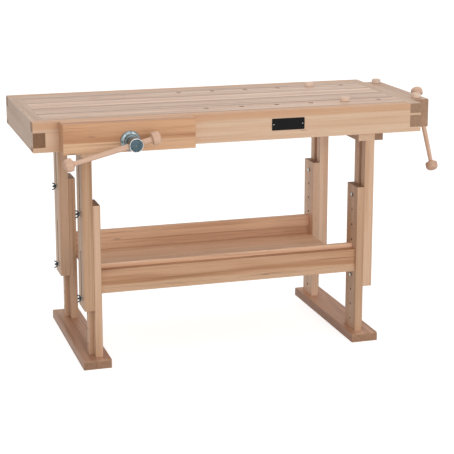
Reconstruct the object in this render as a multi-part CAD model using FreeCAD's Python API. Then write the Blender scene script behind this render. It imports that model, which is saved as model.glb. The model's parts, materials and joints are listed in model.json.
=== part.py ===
"""Woodworking bench with a face vise, an end vise and a base of adjustable height.

All lengths are in millimetres. The bench is worked out with X from the left end of
the worktop, Y from the front face of the worktop and Z from the floor. On export it
moves so that the origin lies on the floor, under the middle of all that it covers.
"""
import FreeCAD, Part
import math
import os

Vector = FreeCAD.Vector
AXIS_X = Vector(1, 0, 0)
AXIS_Y = Vector(0, 1, 0)
AXIS_Z = Vector(0, 0, 1)

# ------------------------------------------------------------ worktop
top_long = 1500.0           # over both end caps
top_deep = 650.0            # over both aprons
panel_thick = 40.0          # planks of the working surface
plank_wide = 125.0          # the plank at the back takes what is left
apron_tall = 110.0
apron_thick = 45.0
cap_thick = 45.0
finger_high = 38.0          # corner joints, down from the working surface
finger_low = 92.0
finger_strip = 8.0          # apron wood left between two fingers

# ------------------------------------------------------------ bench dogs and their holes
dog_hole_radius = 10.0
dog_clearance = 0.08
dog_row_inset = 127.0       # hole rows from the front and back faces
dog_end_inset = 125.0       # last hole from the right end
dog_pitch = 140.0
dog_holes_in_row = 6
dog_holes_skipped = 1       # free holes to the right of the one that holds a dog
dog_head_radius = 18.0
dog_head_tall = 18.0
dog_head_ease = 2.0
dog_shank_long = 60.0
dog_hole_spare = 5.0        # below a shank in a blind hole

# ------------------------------------------------------------ base and height adjustment
foot_long = 660.0
foot_wide = 106.0
foot_thick = 34.0
foot_bevel = 4.0
leg_inset = 216.0           # sliding faces of the leg pairs from the ends of the worktop
post_long = 582.0           # lower and upper posts are cut alike
post_deep = 105.0
post_set_in = 30.0          # from the front and back faces of the worktop
lower_post_thick = 28.0
upper_post_thick = 38.0
post_ease = 2.0
tenon_thick = 16.0
tenon_wide = 70.0
foot_tenon_long = 24.0
bearer_tenon_long = 30.0
slide_gap = 0.4             # between wood that slides on wood
strip_wide = 30.0
strip_proud = 18.0
hole_pitch = 60.0
height_steps = 3
seat_gap = 2.0              # left above the feet and posts at the lowest step
upper_bolt_down = 39.0      # highest step hole, down from the top of a lower post
lower_bolt_up = 37.0        # lower bolt, up from the end of an upper post
bolt_radius = 4.0
step_hole_clearance = 0.25
slot_clearance = 0.5
bolt_head_radius = 7.5
bolt_head_tall = 5.0
bolt_tip = 6.0              # thread past the wing nut
washer_radius = 10.0
washer_thick = 1.6
wing_nut_radius = 7.0
wing_nut_tall = 9.0
wing_reach = 16.0
wing_rise = 8.0             # wings past the nut's outer end
wing_thick = 2.6
thread_clearance = 0.05
bearer_tall = 102.0
block_thick = 34.0

# ------------------------------------------------------------ shelf
rail_thick = 28.0
rail_tall = 90.0
rail_set_in = 15.0          # behind the front faces of the posts
rail_above_bolt = 23.0      # underside of the rails above the lower bolts
wall_thick = 18.0
wall_above_rail = 17.0
shelf_board_thick = 18.0
shelf_board_up = 10.0       # above the underside of the walls
shelf_boards = 3
groove_deep = 6.0
batten_wide = 40.0
batten_thick = 20.0
batten_inset = 150.0

# ------------------------------------------------------------ screws
wood_screw_radius = 3.5
rail_screw_long = 80.0
rail_screw_inset = 24.0     # from the upper and lower edge of a rail
top_screw_bite = 25.0       # length that reaches into a plank

# ------------------------------------------------------------ name plate
plate_left = 894.0
plate_long = 129.0
plate_tall = 45.0
plate_down = 31.0
plate_thick = 1.2

# ------------------------------------------------------------ vises, both alike
jaw_long = 485.0
jaw_thick = 70.0
jaw_lower_board = 40.0
jaw_ease = 3.0
screw_down = 70.0           # screw axis below the working surface
screw_radius = 12.0
rod_radius = 10.0
rod_spread = 70.0           # guide rods to each side of the screw
rod_in_jaw = 50.0
running_clearance = 0.05
bore_clearance = 2.0        # around screw and rods where they only pass through
vise_travel = 120.0
rod_spare = 10.0            # still inside the sleeve when the jaw is fully open
nut_plate_thick = 8.0
nut_plate_tall = 50.0
nut_plate_margin = 22.0
nut_plate_gap = 1.5         # from the left bearer to the nut plate of the face vise
sleeve_long = 27.0
sleeve_wall = 6.0
nut_wall = 9.0
flange_radius = 37.0
flange_thick = 8.0
boss_radius = 26.0
boss_long = 14.0
hub_gap = 0.5
hub_neck_radius = 17.0
hub_head_radius = 25.0
hub_head_long = 45.0
hub_ease = 2.5
bar_reach = 75.0            # from the jaw face to the middle of the tommy bar
bar_radius = 10.0
bar_clearance = 0.08
bar_long = 325.0            # between the middles of its knobs
knob_radius = 24.0
knob_long = 33.0
knob_shoulder = 6.0         # round edge towards the bar
knob_dome = 16.0            # round edge at the free end
knob_collar_radius = 13.0
knob_collar_long = 4.0
face_bar_tilt = 14.2        # degrees below level
end_bar_tilt = 59.5
face_bar_short_side = 79.0  # from the screw axis to the middle of the near knob
end_bar_short_side = 64.0

# ------------------------------------------------------------ worked out from the above
travel = hole_pitch * height_steps
upper_post_low = foot_thick + travel + seat_gap
bearer_low = upper_post_low + post_long
panel_low = bearer_low + bearer_tall
top_high = panel_low + panel_thick
apron_low = top_high - apron_tall
lower_post_high = foot_thick + post_long
upper_bolt_z = lower_post_high - upper_bolt_down
lower_bolt_z = upper_post_low + lower_bolt_up
rail_low = lower_bolt_z + rail_above_bolt
rail_high = rail_low + rail_tall
wall_high = rail_high + wall_above_rail
board_low = rail_low + shelf_board_up
board_high = board_low + shelf_board_thick
screw_z = top_high - screw_down
middle_x = top_long / 2
middle_y = top_deep / 2
slide_x = leg_inset                         # sliding face of the left lower posts
upper_face_x = slide_x - slide_gap          # sliding face of the left upper posts
upper_outer_x = upper_face_x - upper_post_thick
lower_inner_x = slide_x + lower_post_thick
post_front = post_set_in
post_middle_y = post_front + post_deep / 2
vise_reach = jaw_thick + bar_reach + knob_radius
strip_room = strip_wide / 2 + slide_gap
spindle_reach = apron_thick + nut_plate_thick + sleeve_long + vise_travel + rod_spare
dog_x = top_long - dog_end_inset - dog_pitch * dog_holes_skipped
dog_rows = (dog_row_inset, top_deep - dog_row_inset)
dog_shank_radius = dog_hole_radius - dog_clearance
end_screw_y = middle_y
nut_plate_half = rod_spread + nut_plate_margin
face_screw_x = lower_inner_x + nut_plate_gap + nut_plate_half
origin_x = (top_long + vise_reach) / 2
foot_back = middle_y + foot_long / 2
origin_y = (max(top_deep, foot_back) - vise_reach) / 2

nodes = {}


# ------------------------------------------------------------ helpers
def block(x0, x1, y0, y1, z0, z1):
    """A box between two corners."""
    return Part.makeBox(x1 - x0, y1 - y0, z1 - z0, Vector(x0, y0, z0))


def ease(shape, radius, wanted):
    """Round the edges whose middle point and direction pass the test."""
    edges = [e for e in shape.Edges if wanted(e.CenterOfMass, e.tangentAt(e.FirstParameter))]
    return shape.makeFillet(radius, edges) if edges else shape


def runs_along(direction, axis):
    """True where an edge runs along the axis."""
    return abs(abs(direction.dot(axis)) - 1) < 1e-6


def rims(shape, wanted):
    """The edges between a flat face and a round side, where the middle passes the test."""
    edges = []
    for edge in shape.Edges:
        kinds = {face.Surface.TypeId for face in shape.ancestorsOfType(edge, Part.Face)}
        if kinds == {"Part::GeomPlane", "Part::GeomCylinder"} and wanted(edge.CenterOfMass):
            edges.append(edge)
    return edges


def rod(radius, length, start, direction):
    """A round bar from a start point."""
    return Part.makeCylinder(radius, length, start, direction)


def drilled(shape, tools):
    """The shape with each tool taken out of it."""
    for tool in tools:
        shape = shape.cut(tool)
    return shape


def group(shapes):
    """Several solids of one kind in one node."""
    return Part.makeCompound(shapes)


def mirrored_x(shape):
    """The same piece at the other end of the bench."""
    return shape.mirror(Vector(middle_x, 0, 0), AXIS_X)


def mirrored_y(shape):
    """The same piece at the other side of the bench."""
    return shape.mirror(Vector(0, middle_y, 0), AXIS_Y)


def wood_screw(start, direction, length):
    """A countersunk screw whose head is flush at the start point."""
    head_radius = 2 * wood_screw_radius
    shank = rod(wood_screw_radius, length, start, direction)
    head = Part.makeCone(head_radius, wood_screw_radius, wood_screw_radius, start, direction)
    return shank.fuse(head).removeSplitter()


# ------------------------------------------------------------ worktop
def finger_zones(at_right):
    """Height ranges where the cap's wood shows through the apron."""
    middle = top_high - finger_high
    low = top_high - finger_low
    if at_right:
        return [(middle, top_high), (low, middle - finger_strip)]
    return [(low, middle)]


def cap_fingers(at_right, y0, y1):
    """The fingers of one end cap between two faces of an apron."""
    x0 = top_long - cap_thick if at_right else 0.0
    return [block(x0, x0 + cap_thick, y0, y1, z0, z1) for z0, z1 in finger_zones(at_right)]


def dog_bores(low, high):
    """All dog holes of the worktop between two heights."""
    bores = []
    for y in dog_rows:
        for k in range(dog_holes_in_row):
            x = top_long - dog_end_inset - dog_pitch * k
            bores.append(rod(dog_hole_radius, high - low, Vector(x, y, low), AXIS_Z))
    return bores


def vise_bores(start, direction, depth, sideways):
    """Clearance bores for one screw and its guide rods through the bench's own wood."""
    bores = [rod(screw_radius + bore_clearance, depth, start, direction)]
    for side in (-1, 1):
        at = start + sideways * (side * rod_spread)
        bores.append(rod(rod_radius + bore_clearance, depth, at, direction))
    return bores


def face_bores():
    """Bores of the face vise through the front apron."""
    return vise_bores(Vector(face_screw_x, 0, screw_z), AXIS_Y, apron_thick, AXIS_X)


def end_bores():
    """Bores of the end vise, through all the wood that its screw and rods reach."""
    start = Vector(top_long, end_screw_y, screw_z)
    return vise_bores(start, AXIS_X * -1, spindle_reach + bore_clearance, AXIS_Y)


def front_apron():
    """Front apron, notched at both ends for the fingers of the caps."""
    board = block(0, top_long, 0, apron_thick, apron_low, top_high)
    return drilled(board, cap_fingers(False, 0, apron_thick) + cap_fingers(True, 0, apron_thick))


def aprons():
    """Both aprons; only the front one is bored for a vise."""
    front = front_apron()
    nodes["front_apron"] = drilled(front, face_bores())
    nodes["back_apron"] = mirrored_y(front)


def end_cap(at_right):
    """An end cap with fingers that pass through both aprons."""
    x0 = top_long - cap_thick if at_right else 0.0
    cap = block(x0, x0 + cap_thick, apron_thick, top_deep - apron_thick, apron_low, top_high)
    fingers = cap_fingers(at_right, 0, apron_thick)
    fingers += cap_fingers(at_right, top_deep - apron_thick, top_deep)
    return cap.multiFuse(fingers).removeSplitter()


def plank_edges():
    """Front and back edge of each plank."""
    edges = []
    y = apron_thick
    back = top_deep - apron_thick
    while y < back:
        edges.append((y, min(y + plank_wide, back)))
        y += plank_wide
    return edges


def planks(screws):
    """The planks between the aprons, with their dog holes and screw holes."""
    for number, (y0, y1) in enumerate(plank_edges(), start=1):
        plank = block(cap_thick, top_long - cap_thick, y0, y1, panel_low, top_high)
        plank = drilled(plank, dog_bores(panel_low, top_high) + screws)
        nodes["worktop_plank_%d" % number] = plank


def name_plate():
    """A thin bare plate on the front apron."""
    top = top_high - plate_down
    nodes["name_plate"] = block(plate_left, plate_left + plate_long, -plate_thick, 0,
                                top - plate_tall, top)


# ------------------------------------------------------------ legs
def step_holes(x0, x1):
    """The two rows of step holes of a left front post."""
    holes = []
    for top_hole in (upper_bolt_z, lower_bolt_z):
        for k in range(height_steps + 1):
            at = Vector(x0, post_middle_y, top_hole - hole_pitch * k)
            holes.append(rod(bolt_radius + step_hole_clearance, x1 - x0, at, AXIS_X))
    return holes


def tenon(x_middle, z0, z1):
    """A tenon of a front post, set in from the post's faces."""
    return block(x_middle - tenon_thick / 2, x_middle + tenon_thick / 2,
                 post_middle_y - tenon_wide / 2, post_middle_y + tenon_wide / 2, z0, z1)


def foot_tenon():
    """Tenon of a left front lower post in the foot."""
    return tenon(slide_x + lower_post_thick / 2, foot_thick - foot_tenon_long, foot_thick)


def bearer_tenon():
    """Tenon of the left front upper post in the bearer."""
    return tenon(upper_outer_x + upper_post_thick / 2, bearer_low,
                 bearer_low + bearer_tenon_long)


def rail_screws():
    """Screws through a left front lower post into the end of the front rail."""
    y = post_front + rail_set_in + rail_thick / 2
    heights = (rail_low + rail_screw_inset, rail_high - rail_screw_inset)
    return [wood_screw(Vector(slide_x, y, z), AXIS_X, rail_screw_long) for z in heights]


def lower_post(screws):
    """Left front lower post, with its step holes and screw holes."""
    post = block(slide_x, lower_inner_x, post_front, post_front + post_deep,
                 foot_thick, lower_post_high)
    middle = (slide_x + lower_inner_x) / 2
    post = ease(post, post_ease, lambda at, way: runs_along(way, AXIS_Z) and at.x > middle)
    post = post.fuse(foot_tenon()).removeSplitter()
    return drilled(post, step_holes(slide_x, lower_inner_x) + screws)


def guide_strip():
    """Strip on the outer face of a lower post that runs in the upper post's groove."""
    strip = block(slide_x - strip_proud, slide_x, post_middle_y - strip_wide / 2,
                  post_middle_y + strip_wide / 2, foot_thick, lower_post_high)
    return drilled(strip, step_holes(slide_x - strip_proud, slide_x))


def bolt_slot(bolt_z):
    """Slot in an upper post that lets it slide past a bolt."""
    half = bolt_radius + slot_clearance
    x0 = upper_outer_x
    middle = block(x0, upper_face_x, post_middle_y - half, post_middle_y + half,
                   bolt_z, bolt_z + travel)
    ends = [rod(half, upper_post_thick, Vector(x0, post_middle_y, z), AXIS_X)
            for z in (bolt_z, bolt_z + travel)]
    return middle.multiFuse(ends)


def upper_post():
    """Left front upper post, grooved for the guide strip and slotted for both bolts."""
    post = block(upper_outer_x, upper_face_x, post_front, post_front + post_deep,
                 upper_post_low, bearer_low)
    middle = (upper_outer_x + upper_face_x) / 2
    post = ease(post, post_ease, lambda at, way: runs_along(way, AXIS_Z) and at.x < middle)
    post = post.fuse(bearer_tenon()).removeSplitter()
    groove = block(upper_face_x - strip_proud, upper_face_x, post_middle_y - strip_room,
                   post_middle_y + strip_room, upper_post_low, bearer_low)
    return drilled(post, [groove, bolt_slot(upper_bolt_z), bolt_slot(lower_bolt_z)])


def foot():
    """Left foot, bevelled at the upper edge of both ends, with a mortise for each post."""
    y0 = middle_y - foot_long / 2
    board = block(slide_x - foot_wide / 2, slide_x + foot_wide / 2, y0, y0 + foot_long,
                  0, foot_thick)
    ends = [e for e in board.Edges
            if runs_along(e.tangentAt(0), AXIS_X) and e.CenterOfMass.z > foot_thick / 2]
    board = board.makeChamfer(foot_bevel, ends)
    return drilled(board, [foot_tenon(), mirrored_y(foot_tenon())])


def four_ways(shape):
    """A left front piece and its mirror images, with the name of each corner."""
    back = mirrored_y(shape)
    return [("left_front", shape), ("left_back", back),
            ("right_front", mirrored_x(shape)), ("right_back", mirrored_x(back))]


def legs():
    """Four pairs of posts with their strips, screws and feet."""
    screws = rail_screws()
    for corner, post in four_ways(lower_post(screws)):
        nodes["lower_post_" + corner] = post
    for corner, post in four_ways(upper_post()):
        nodes["upper_post_" + corner] = post
    nodes["guide_strips"] = group([s for _, s in four_ways(guide_strip())])
    nodes["rail_screws"] = group([s for screw in screws for _, s in four_ways(screw)])
    nodes["left_foot"] = foot()
    nodes["right_foot"] = mirrored_x(foot())


# ------------------------------------------------------------ bearers
def top_screws():
    """Screws from the left bearer up into each plank."""
    x = slide_x + lower_post_thick / 2
    length = bearer_tall + top_screw_bite
    return [wood_screw(Vector(x, (y0 + y1) / 2, bearer_low), AXIS_Z, length)
            for y0, y1 in plank_edges()]


def crosspiece(x0, x1):
    """A board across the underside of the planks, notched under both aprons."""
    board = block(x0, x1, post_front, top_deep - post_front, bearer_low, panel_low)
    notch = block(x0, x1, 0, apron_thick, apron_low, panel_low)
    return drilled(board, [notch, mirrored_y(notch)])


def bearers(left_screws):
    """A bearer over each leg pair, and the block that backs the right one."""
    board = crosspiece(upper_outer_x, lower_inner_x)
    board = drilled(board, [bearer_tenon(), mirrored_y(bearer_tenon())] + left_screws)
    dog_room = dog_bores(bearer_low, panel_low)
    nodes["left_bearer"] = drilled(board, dog_room)
    nodes["right_bearer"] = drilled(mirrored_x(board), dog_room + end_bores())
    outer = top_long - upper_outer_x
    backing = crosspiece(outer, outer + block_thick)
    nodes["end_vise_block"] = drilled(backing, dog_room + end_bores())


# ------------------------------------------------------------ bolts and wing nuts
nut_seat_x = upper_outer_x - washer_thick


def height_bolt(z):
    """Bolt with its head on the inner face of the left front lower post."""
    tip = nut_seat_x - wing_nut_tall - bolt_tip
    shank = rod(bolt_radius, lower_inner_x - tip, Vector(tip, post_middle_y, z), AXIS_X)
    head = rod(bolt_head_radius, bolt_head_tall, Vector(lower_inner_x, post_middle_y, z), AXIS_X)
    middle = lower_inner_x + bolt_head_tall / 2
    head = head.makeFillet(bolt_head_tall / 3, rims(head, lambda at: at.x > middle))
    return shank.fuse(head).removeSplitter()


def washer(z):
    """Washer between a left front upper post and its wing nut."""
    ring = rod(washer_radius, washer_thick, Vector(nut_seat_x, post_middle_y, z), AXIS_X)
    hole = rod(bolt_radius + thread_clearance, washer_thick,
               Vector(nut_seat_x, post_middle_y, z), AXIS_X)
    return ring.cut(hole)


def wing(side):
    """One upright wing, drawn in the plane of the nut's axis: (across, along) from the seat."""
    top = wing_nut_tall + wing_rise
    outline = [(wing_nut_radius / 2, wing_nut_tall * 0.2), (wing_nut_radius, wing_nut_tall * 0.3),
               (wing_reach, wing_nut_tall), (wing_reach, top * 0.9), (wing_reach * 0.85, top),
               (wing_reach * 0.6, top * 0.85), (wing_nut_radius / 2, wing_nut_tall * 0.9)]
    points = [Vector(-along, -wing_thick / 2, side * across) for across, along in outline]
    face = Part.Face(Part.makePolygon(points + points[:1]))
    return face.extrude(AXIS_Y * wing_thick)


def wing_nut():
    """Wing nut with its seat at the origin, pointing along -X."""
    body = Part.makeCone(wing_nut_radius, wing_nut_radius * 0.8, wing_nut_tall,
                         Vector(0, 0, 0), AXIS_X * -1)
    nut = body.multiFuse([wing(-1), wing(1)]).removeSplitter()
    bore = rod(bolt_radius + thread_clearance, wing_nut_tall + wing_rise,
               Vector(0, 0, 0), AXIS_X * -1)
    return nut.cut(bore)


def bolts():
    """Two bolts for each leg, each with a washer and a wing nut."""
    bolt_list = []
    washer_list = []
    for level, z in (("upper", upper_bolt_z), ("lower", lower_bolt_z)):
        bolt_list += [s for _, s in four_ways(height_bolt(z))]
        washer_list += [s for _, s in four_ways(washer(z))]
        nut = wing_nut()
        nut.translate(Vector(nut_seat_x, post_middle_y, z))
        for corner, placed in four_ways(nut):
            nodes["wing_nut_%s_%s" % (corner, level)] = placed
    nodes["height_bolts"] = group(bolt_list + washer_list)


# ------------------------------------------------------------ shelf
def shelf(screws):
    """Rails between the legs, and the tray of walls, boards and battens."""
    x0 = lower_inner_x
    x1 = top_long - lower_inner_x
    rail_front = post_front + rail_set_in
    wall_front = rail_front + rail_thick
    wall_back = wall_front + wall_thick
    rail = block(x0, x1, rail_front, wall_front, rail_low, rail_high)
    middle = rail_front + rail_thick / 2
    rail = ease(rail, post_ease, lambda at, way: runs_along(way, AXIS_X) and at.y < middle)
    rail = drilled(rail, screws + [mirrored_x(s) for s in screws])
    nodes["shelf_rail_front"] = rail
    nodes["shelf_rail_back"] = mirrored_y(rail)
    wall = block(x0, x1, wall_front, wall_back, rail_low, wall_high)
    wall = ease(wall, post_ease, lambda at, way: runs_along(way, AXIS_X) and at.z > rail_high)
    groove = block(x0, x1, wall_back - groove_deep, wall_back, board_low, board_high)
    wall = wall.cut(groove)
    nodes["tray_wall_front"] = wall
    nodes["tray_wall_back"] = mirrored_y(wall)
    floor_front = wall_back - groove_deep
    board_wide = (top_deep - 2 * floor_front) / shelf_boards
    boards = []
    for k in range(shelf_boards):
        y = floor_front + board_wide * k
        boards.append(block(x0, x1, y, y + board_wide, board_low, board_high))
    nodes["shelf_boards"] = group(boards)
    batten = block(x0 + batten_inset, x0 + batten_inset + batten_wide,
                   wall_back, top_deep - wall_back, board_low - batten_thick, board_low)
    nodes["shelf_battens"] = group([batten, mirrored_x(batten)])


# ------------------------------------------------------------ vises
# A vise is worked out with its screw axis on the Y axis, the jaw's outer face at
# Y = 0 and the bench towards +Y, and is then turned and moved to its place.
def vise_jaw_boards(dog_holes):
    """The two boards of a jaw, lower one first."""
    top = screw_down
    bottom = top - apron_tall
    half = jaw_long / 2
    jaw = block(-half, half, 0, jaw_thick, bottom, top)
    jaw = ease(jaw, jaw_ease, lambda at, way: at.y < jaw_thick / 2 and abs(way.y) < 0.5)
    tools = [rod(screw_radius + bore_clearance, jaw_thick, Vector(0, 0, 0), AXIS_Y)]
    tools += vise_rods()
    for x in dog_holes:
        depth = dog_shank_long + dog_hole_spare
        tools.append(rod(dog_hole_radius, depth, Vector(x, jaw_thick / 2, top - depth), AXIS_Z))
    jaw = drilled(jaw, tools)
    split = bottom + jaw_lower_board
    lower = jaw.common(block(-half, half, 0, jaw_thick, bottom, split))
    upper = jaw.common(block(-half, half, 0, jaw_thick, split, top))
    return [lower, upper]


def vise_rods():
    """The two guide rods, set into the jaw from its inner face."""
    start = jaw_thick - rod_in_jaw
    return [rod(rod_radius, rod_in_jaw + spindle_reach, Vector(side * rod_spread, start, 0), AXIS_Y)
            for side in (-1, 1)]


def vise_nut_plate():
    """Plate with the nut and two guide sleeves, on the inner face of the bench's wood."""
    y = jaw_thick + apron_thick
    plate = block(-nut_plate_half, nut_plate_half, y, y + nut_plate_thick,
                  -nut_plate_tall / 2, nut_plate_tall / 2)
    length = nut_plate_thick + sleeve_long
    tubes = [rod(screw_radius + nut_wall, length, Vector(0, y, 0), AXIS_Y)]
    bores = [rod(screw_radius + running_clearance, length, Vector(0, y, 0), AXIS_Y)]
    for side in (-1, 1):
        at = Vector(side * rod_spread, y, 0)
        tubes.append(rod(rod_radius + sleeve_wall, length, at, AXIS_Y))
        bores.append(rod(rod_radius + running_clearance, length, at, AXIS_Y))
    return drilled(plate.multiFuse(tubes).removeSplitter(), bores)


def vise_flange():
    """Round flange and boss on the outer face of the jaw."""
    out = AXIS_Y * -1
    plate = rod(flange_radius, flange_thick, Vector(0, 0, 0), out)
    plate = plate.makeFillet(hub_ease, rims(plate, lambda at: at.y < -flange_thick / 2))
    boss = Part.makeCone(boss_radius, boss_radius - hub_ease, boss_long,
                         Vector(0, -flange_thick, 0), out)
    bore = rod(screw_radius + bore_clearance / 2, flange_thick + boss_long, Vector(0, 0, 0), out)
    return plate.fuse(boss).removeSplitter().cut(bore)


def bar_direction(tilt):
    """From the screw axis towards the long end of the bar."""
    angle = math.radians(tilt)
    return Vector(-math.cos(angle), 0, -math.sin(angle))


def vise_spindle(tilt):
    """The spindle head with its bar hole, and the spindle that is set into it."""
    out = AXIS_Y * -1
    neck_start = flange_thick + boss_long + hub_gap
    head_front = bar_reach + hub_head_long / 2
    head_back = bar_reach - hub_head_long / 2
    neck = rod(hub_neck_radius, head_back - neck_start, Vector(0, -neck_start, 0), out)
    head = rod(hub_head_radius, hub_head_long, Vector(0, -head_back, 0), out)
    head = head.makeFillet(hub_ease, rims(head, lambda at: True))
    hub = neck.fuse(head).removeSplitter()
    half = bar_direction(tilt) * (2 * hub_head_radius)
    hole = rod(bar_radius + bar_clearance, 4 * hub_head_radius,
               Vector(0, -bar_reach, 0) - half, bar_direction(tilt))
    socket = (head_back + neck_start) / 2
    shaft = rod(screw_radius, socket + jaw_thick + spindle_reach, Vector(0, -socket, 0), AXIS_Y)
    hub = drilled(hub, [hole, shaft])
    return [hub, shaft]


def vise_bar(tilt, short_side):
    """Tommy bar between the two knobs, its ends set into them."""
    along = bar_direction(tilt)
    start = Vector(0, -bar_reach, 0) - along * short_side
    return rod(bar_radius, bar_long, start, along)


def vise_knob(middle, outward, bar):
    """A turned knob, domed at its free end, with a collar, bored for the bar's end."""
    inner_end = middle - outward * (knob_long / 2)
    body = rod(knob_radius, knob_long, inner_end, outward)
    body = body.makeFillet(knob_dome, rims(body, lambda at: (at - middle).dot(outward) > 0))
    body = body.makeFillet(knob_shoulder, rims(body, lambda at: (at - middle).dot(outward) < 0))
    collar = rod(knob_collar_radius, knob_collar_long + knob_shoulder,
                 inner_end - outward * knob_collar_long, outward)
    return body.fuse(collar).removeSplitter().cut(bar)


def vise_knobs(tilt, short_side):
    """The knob at each end of the bar."""
    along = bar_direction(tilt)
    bar = vise_bar(tilt, short_side)
    near = Vector(0, -bar_reach, 0) - along * short_side
    return [vise_knob(near + along * bar_long, along, bar), vise_knob(near, along * -1, bar)]


def set_in_place(shape, turn, place):
    """Turn a vise piece about the vertical and move it to its place."""
    shape = shape.copy()
    shape.rotate(Vector(0, 0, 0), AXIS_Z, turn)
    shape.translate(place)
    return shape


def vise(name, tilt, short_side, turn, place, dog_holes):
    """All pieces of one vise."""
    pieces = {
        "jaw": group(vise_jaw_boards(dog_holes)),
        "guide_rods": group(vise_rods()),
        "flange": vise_flange(),
        "nut_plate": vise_nut_plate(),
        "spindle": group(vise_spindle(tilt)),
        "bar": vise_bar(tilt, short_side),
        "knobs": group(vise_knobs(tilt, short_side)),
    }
    for piece, shape in pieces.items():
        nodes["%s_vise_%s" % (name, piece)] = set_in_place(shape, turn, place)


# ------------------------------------------------------------ bench dogs
def bench_dog(x, y):
    """A round wooden dog standing in a hole of the working surface."""
    head = rod(dog_head_radius, dog_head_tall, Vector(x, y, top_high), AXIS_Z)
    head = head.makeFillet(dog_head_ease, rims(head, lambda at: True))
    shank = rod(dog_shank_radius, dog_shank_long + dog_head_ease,
                Vector(x, y, top_high - dog_shank_long), AXIS_Z)
    return head.fuse(shank).removeSplitter()


def dogs():
    """Two dogs in the worktop and two in the end vise jaw."""
    for row, y in zip(("front", "back"), dog_rows):
        nodes["bench_dog_%s" % row] = bench_dog(dog_x, y)
        nodes["jaw_dog_%s" % row] = bench_dog(top_long + jaw_thick / 2, y)


# ------------------------------------------------------------ the whole bench
def build():
    """Make every node."""
    left_screws = top_screws()
    right_screws = [mirrored_x(s) for s in left_screws]
    aprons()
    nodes["left_cap"] = end_cap(False)
    nodes["right_cap"] = drilled(end_cap(True), end_bores())
    planks(left_screws + right_screws)
    name_plate()
    legs()
    bearers(left_screws)
    nodes["top_screws"] = group(left_screws + right_screws)
    bolts()
    shelf(rail_screws() + [mirrored_x(s) for s in rail_screws()])
    face_place = Vector(face_screw_x, -jaw_thick, screw_z)
    vise("face", face_bar_tilt, face_bar_short_side, 0, face_place, [])
    end_place = Vector(top_long + jaw_thick, end_screw_y, screw_z)
    jaw_dog_x = [y - end_screw_y for y in dog_rows]
    vise("end", end_bar_tilt, end_bar_short_side, 90, end_place, jaw_dog_x)
    dogs()


build()
os.makedirs("parts", exist_ok=True)
for node, shape in nodes.items():
    placed = shape.copy()
    placed.translate(Vector(-origin_x, -origin_y, 0))
    placed.exportStep("parts/%s.step" % node)
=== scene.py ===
"""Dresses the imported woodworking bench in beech, steel and lacquer, and sets up its studio.

Lengths inside the makers are millimetres and leave them in metres, in the bench's own
frame. Every piece takes its place from the solid it stands for.
"""
from __future__ import annotations

import json
import logging
import math
import random
from dataclasses import dataclass, field
from enum import Enum
from typing import Callable, Sequence

import bmesh
import bpy
from mathutils import Matrix, Vector

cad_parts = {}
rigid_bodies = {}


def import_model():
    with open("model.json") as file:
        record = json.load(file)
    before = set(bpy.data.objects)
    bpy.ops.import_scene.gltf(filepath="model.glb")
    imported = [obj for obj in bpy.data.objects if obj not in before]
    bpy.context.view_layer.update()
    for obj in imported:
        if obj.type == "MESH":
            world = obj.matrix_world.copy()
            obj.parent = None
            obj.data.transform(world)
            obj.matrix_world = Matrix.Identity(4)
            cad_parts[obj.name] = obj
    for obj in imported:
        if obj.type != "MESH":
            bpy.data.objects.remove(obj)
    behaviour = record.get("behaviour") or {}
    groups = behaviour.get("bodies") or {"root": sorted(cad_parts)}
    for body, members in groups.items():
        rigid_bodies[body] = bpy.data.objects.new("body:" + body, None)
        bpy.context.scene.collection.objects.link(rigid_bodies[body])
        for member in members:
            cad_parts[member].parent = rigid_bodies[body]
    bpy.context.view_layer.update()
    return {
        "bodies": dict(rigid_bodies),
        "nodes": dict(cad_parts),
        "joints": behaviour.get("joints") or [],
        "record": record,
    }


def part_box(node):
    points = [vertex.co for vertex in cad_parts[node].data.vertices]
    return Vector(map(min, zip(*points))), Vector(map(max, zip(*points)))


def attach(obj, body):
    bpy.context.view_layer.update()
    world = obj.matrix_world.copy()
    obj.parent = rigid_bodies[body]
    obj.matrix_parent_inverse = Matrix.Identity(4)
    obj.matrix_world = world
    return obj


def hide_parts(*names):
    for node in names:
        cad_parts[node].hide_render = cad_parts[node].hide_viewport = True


log = logging.getLogger("bench")

MM = 0.001
WELD = 1e-6                     # metres within which two points are one
INSIDE = 0.05 * MM              # from a face to a point that is surely in the wood
TURNED_MM = 20.0                # radius at which the arc round a turned piece is measured
THREAD_MM = 2.0                 # the same for a thread, whose tool lines are longer
LOG_LONG = 9000.0               # length of the log that boards take their figure from
LOG_DEEP = 60.0                 # how far into it they reach, either way
LOG_WRAP = 1000.0               # the place into it starts again after this
THREAD_SHAPE = ((0.0, 0.0), (0.16, 1.0), (0.50, 1.0), (0.66, 0.0))  # pitches, height
FLAT = math.radians(0.8)        # faces that turn less are one face
CURVED = math.radians(1.0)      # faces that turn more belong to a curve
SHARP = math.radians(40.0)      # edges that turn more are edges of the piece

KNOT_WOOD = "4A3226"
# painted shade inside bored holes
PAINTED_HOLE_SHADE = "3A281C"
# bare worn steel and painted highlight on marked edges
WORN_STEEL_HIGHLIGHT = "F0F2F3"

Profile = Sequence[tuple[float, float]]
Stretch = tuple[float, float, float]
Colour = tuple[float, float, float, float]

WHITE: Colour = (1.0, 1.0, 1.0, 1.0)


# ---------------------------------------------------------------- colour
def linear(code: str) -> Colour:
    """Turns a web colour into the linear colour that shaders use.

    Args:
        code: Six hexadecimal digits.

    Returns:
        Red, green, blue and an alpha of 1.
    """
    parts = [int(code[i:i + 2], 16) / 255 for i in (0, 2, 4)]
    red, green, blue = [c / 12.92 if c <= 0.04045 else ((c + 0.055) / 1.055) ** 2.4
                        for c in parts]
    return red, green, blue, 1.0


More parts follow.
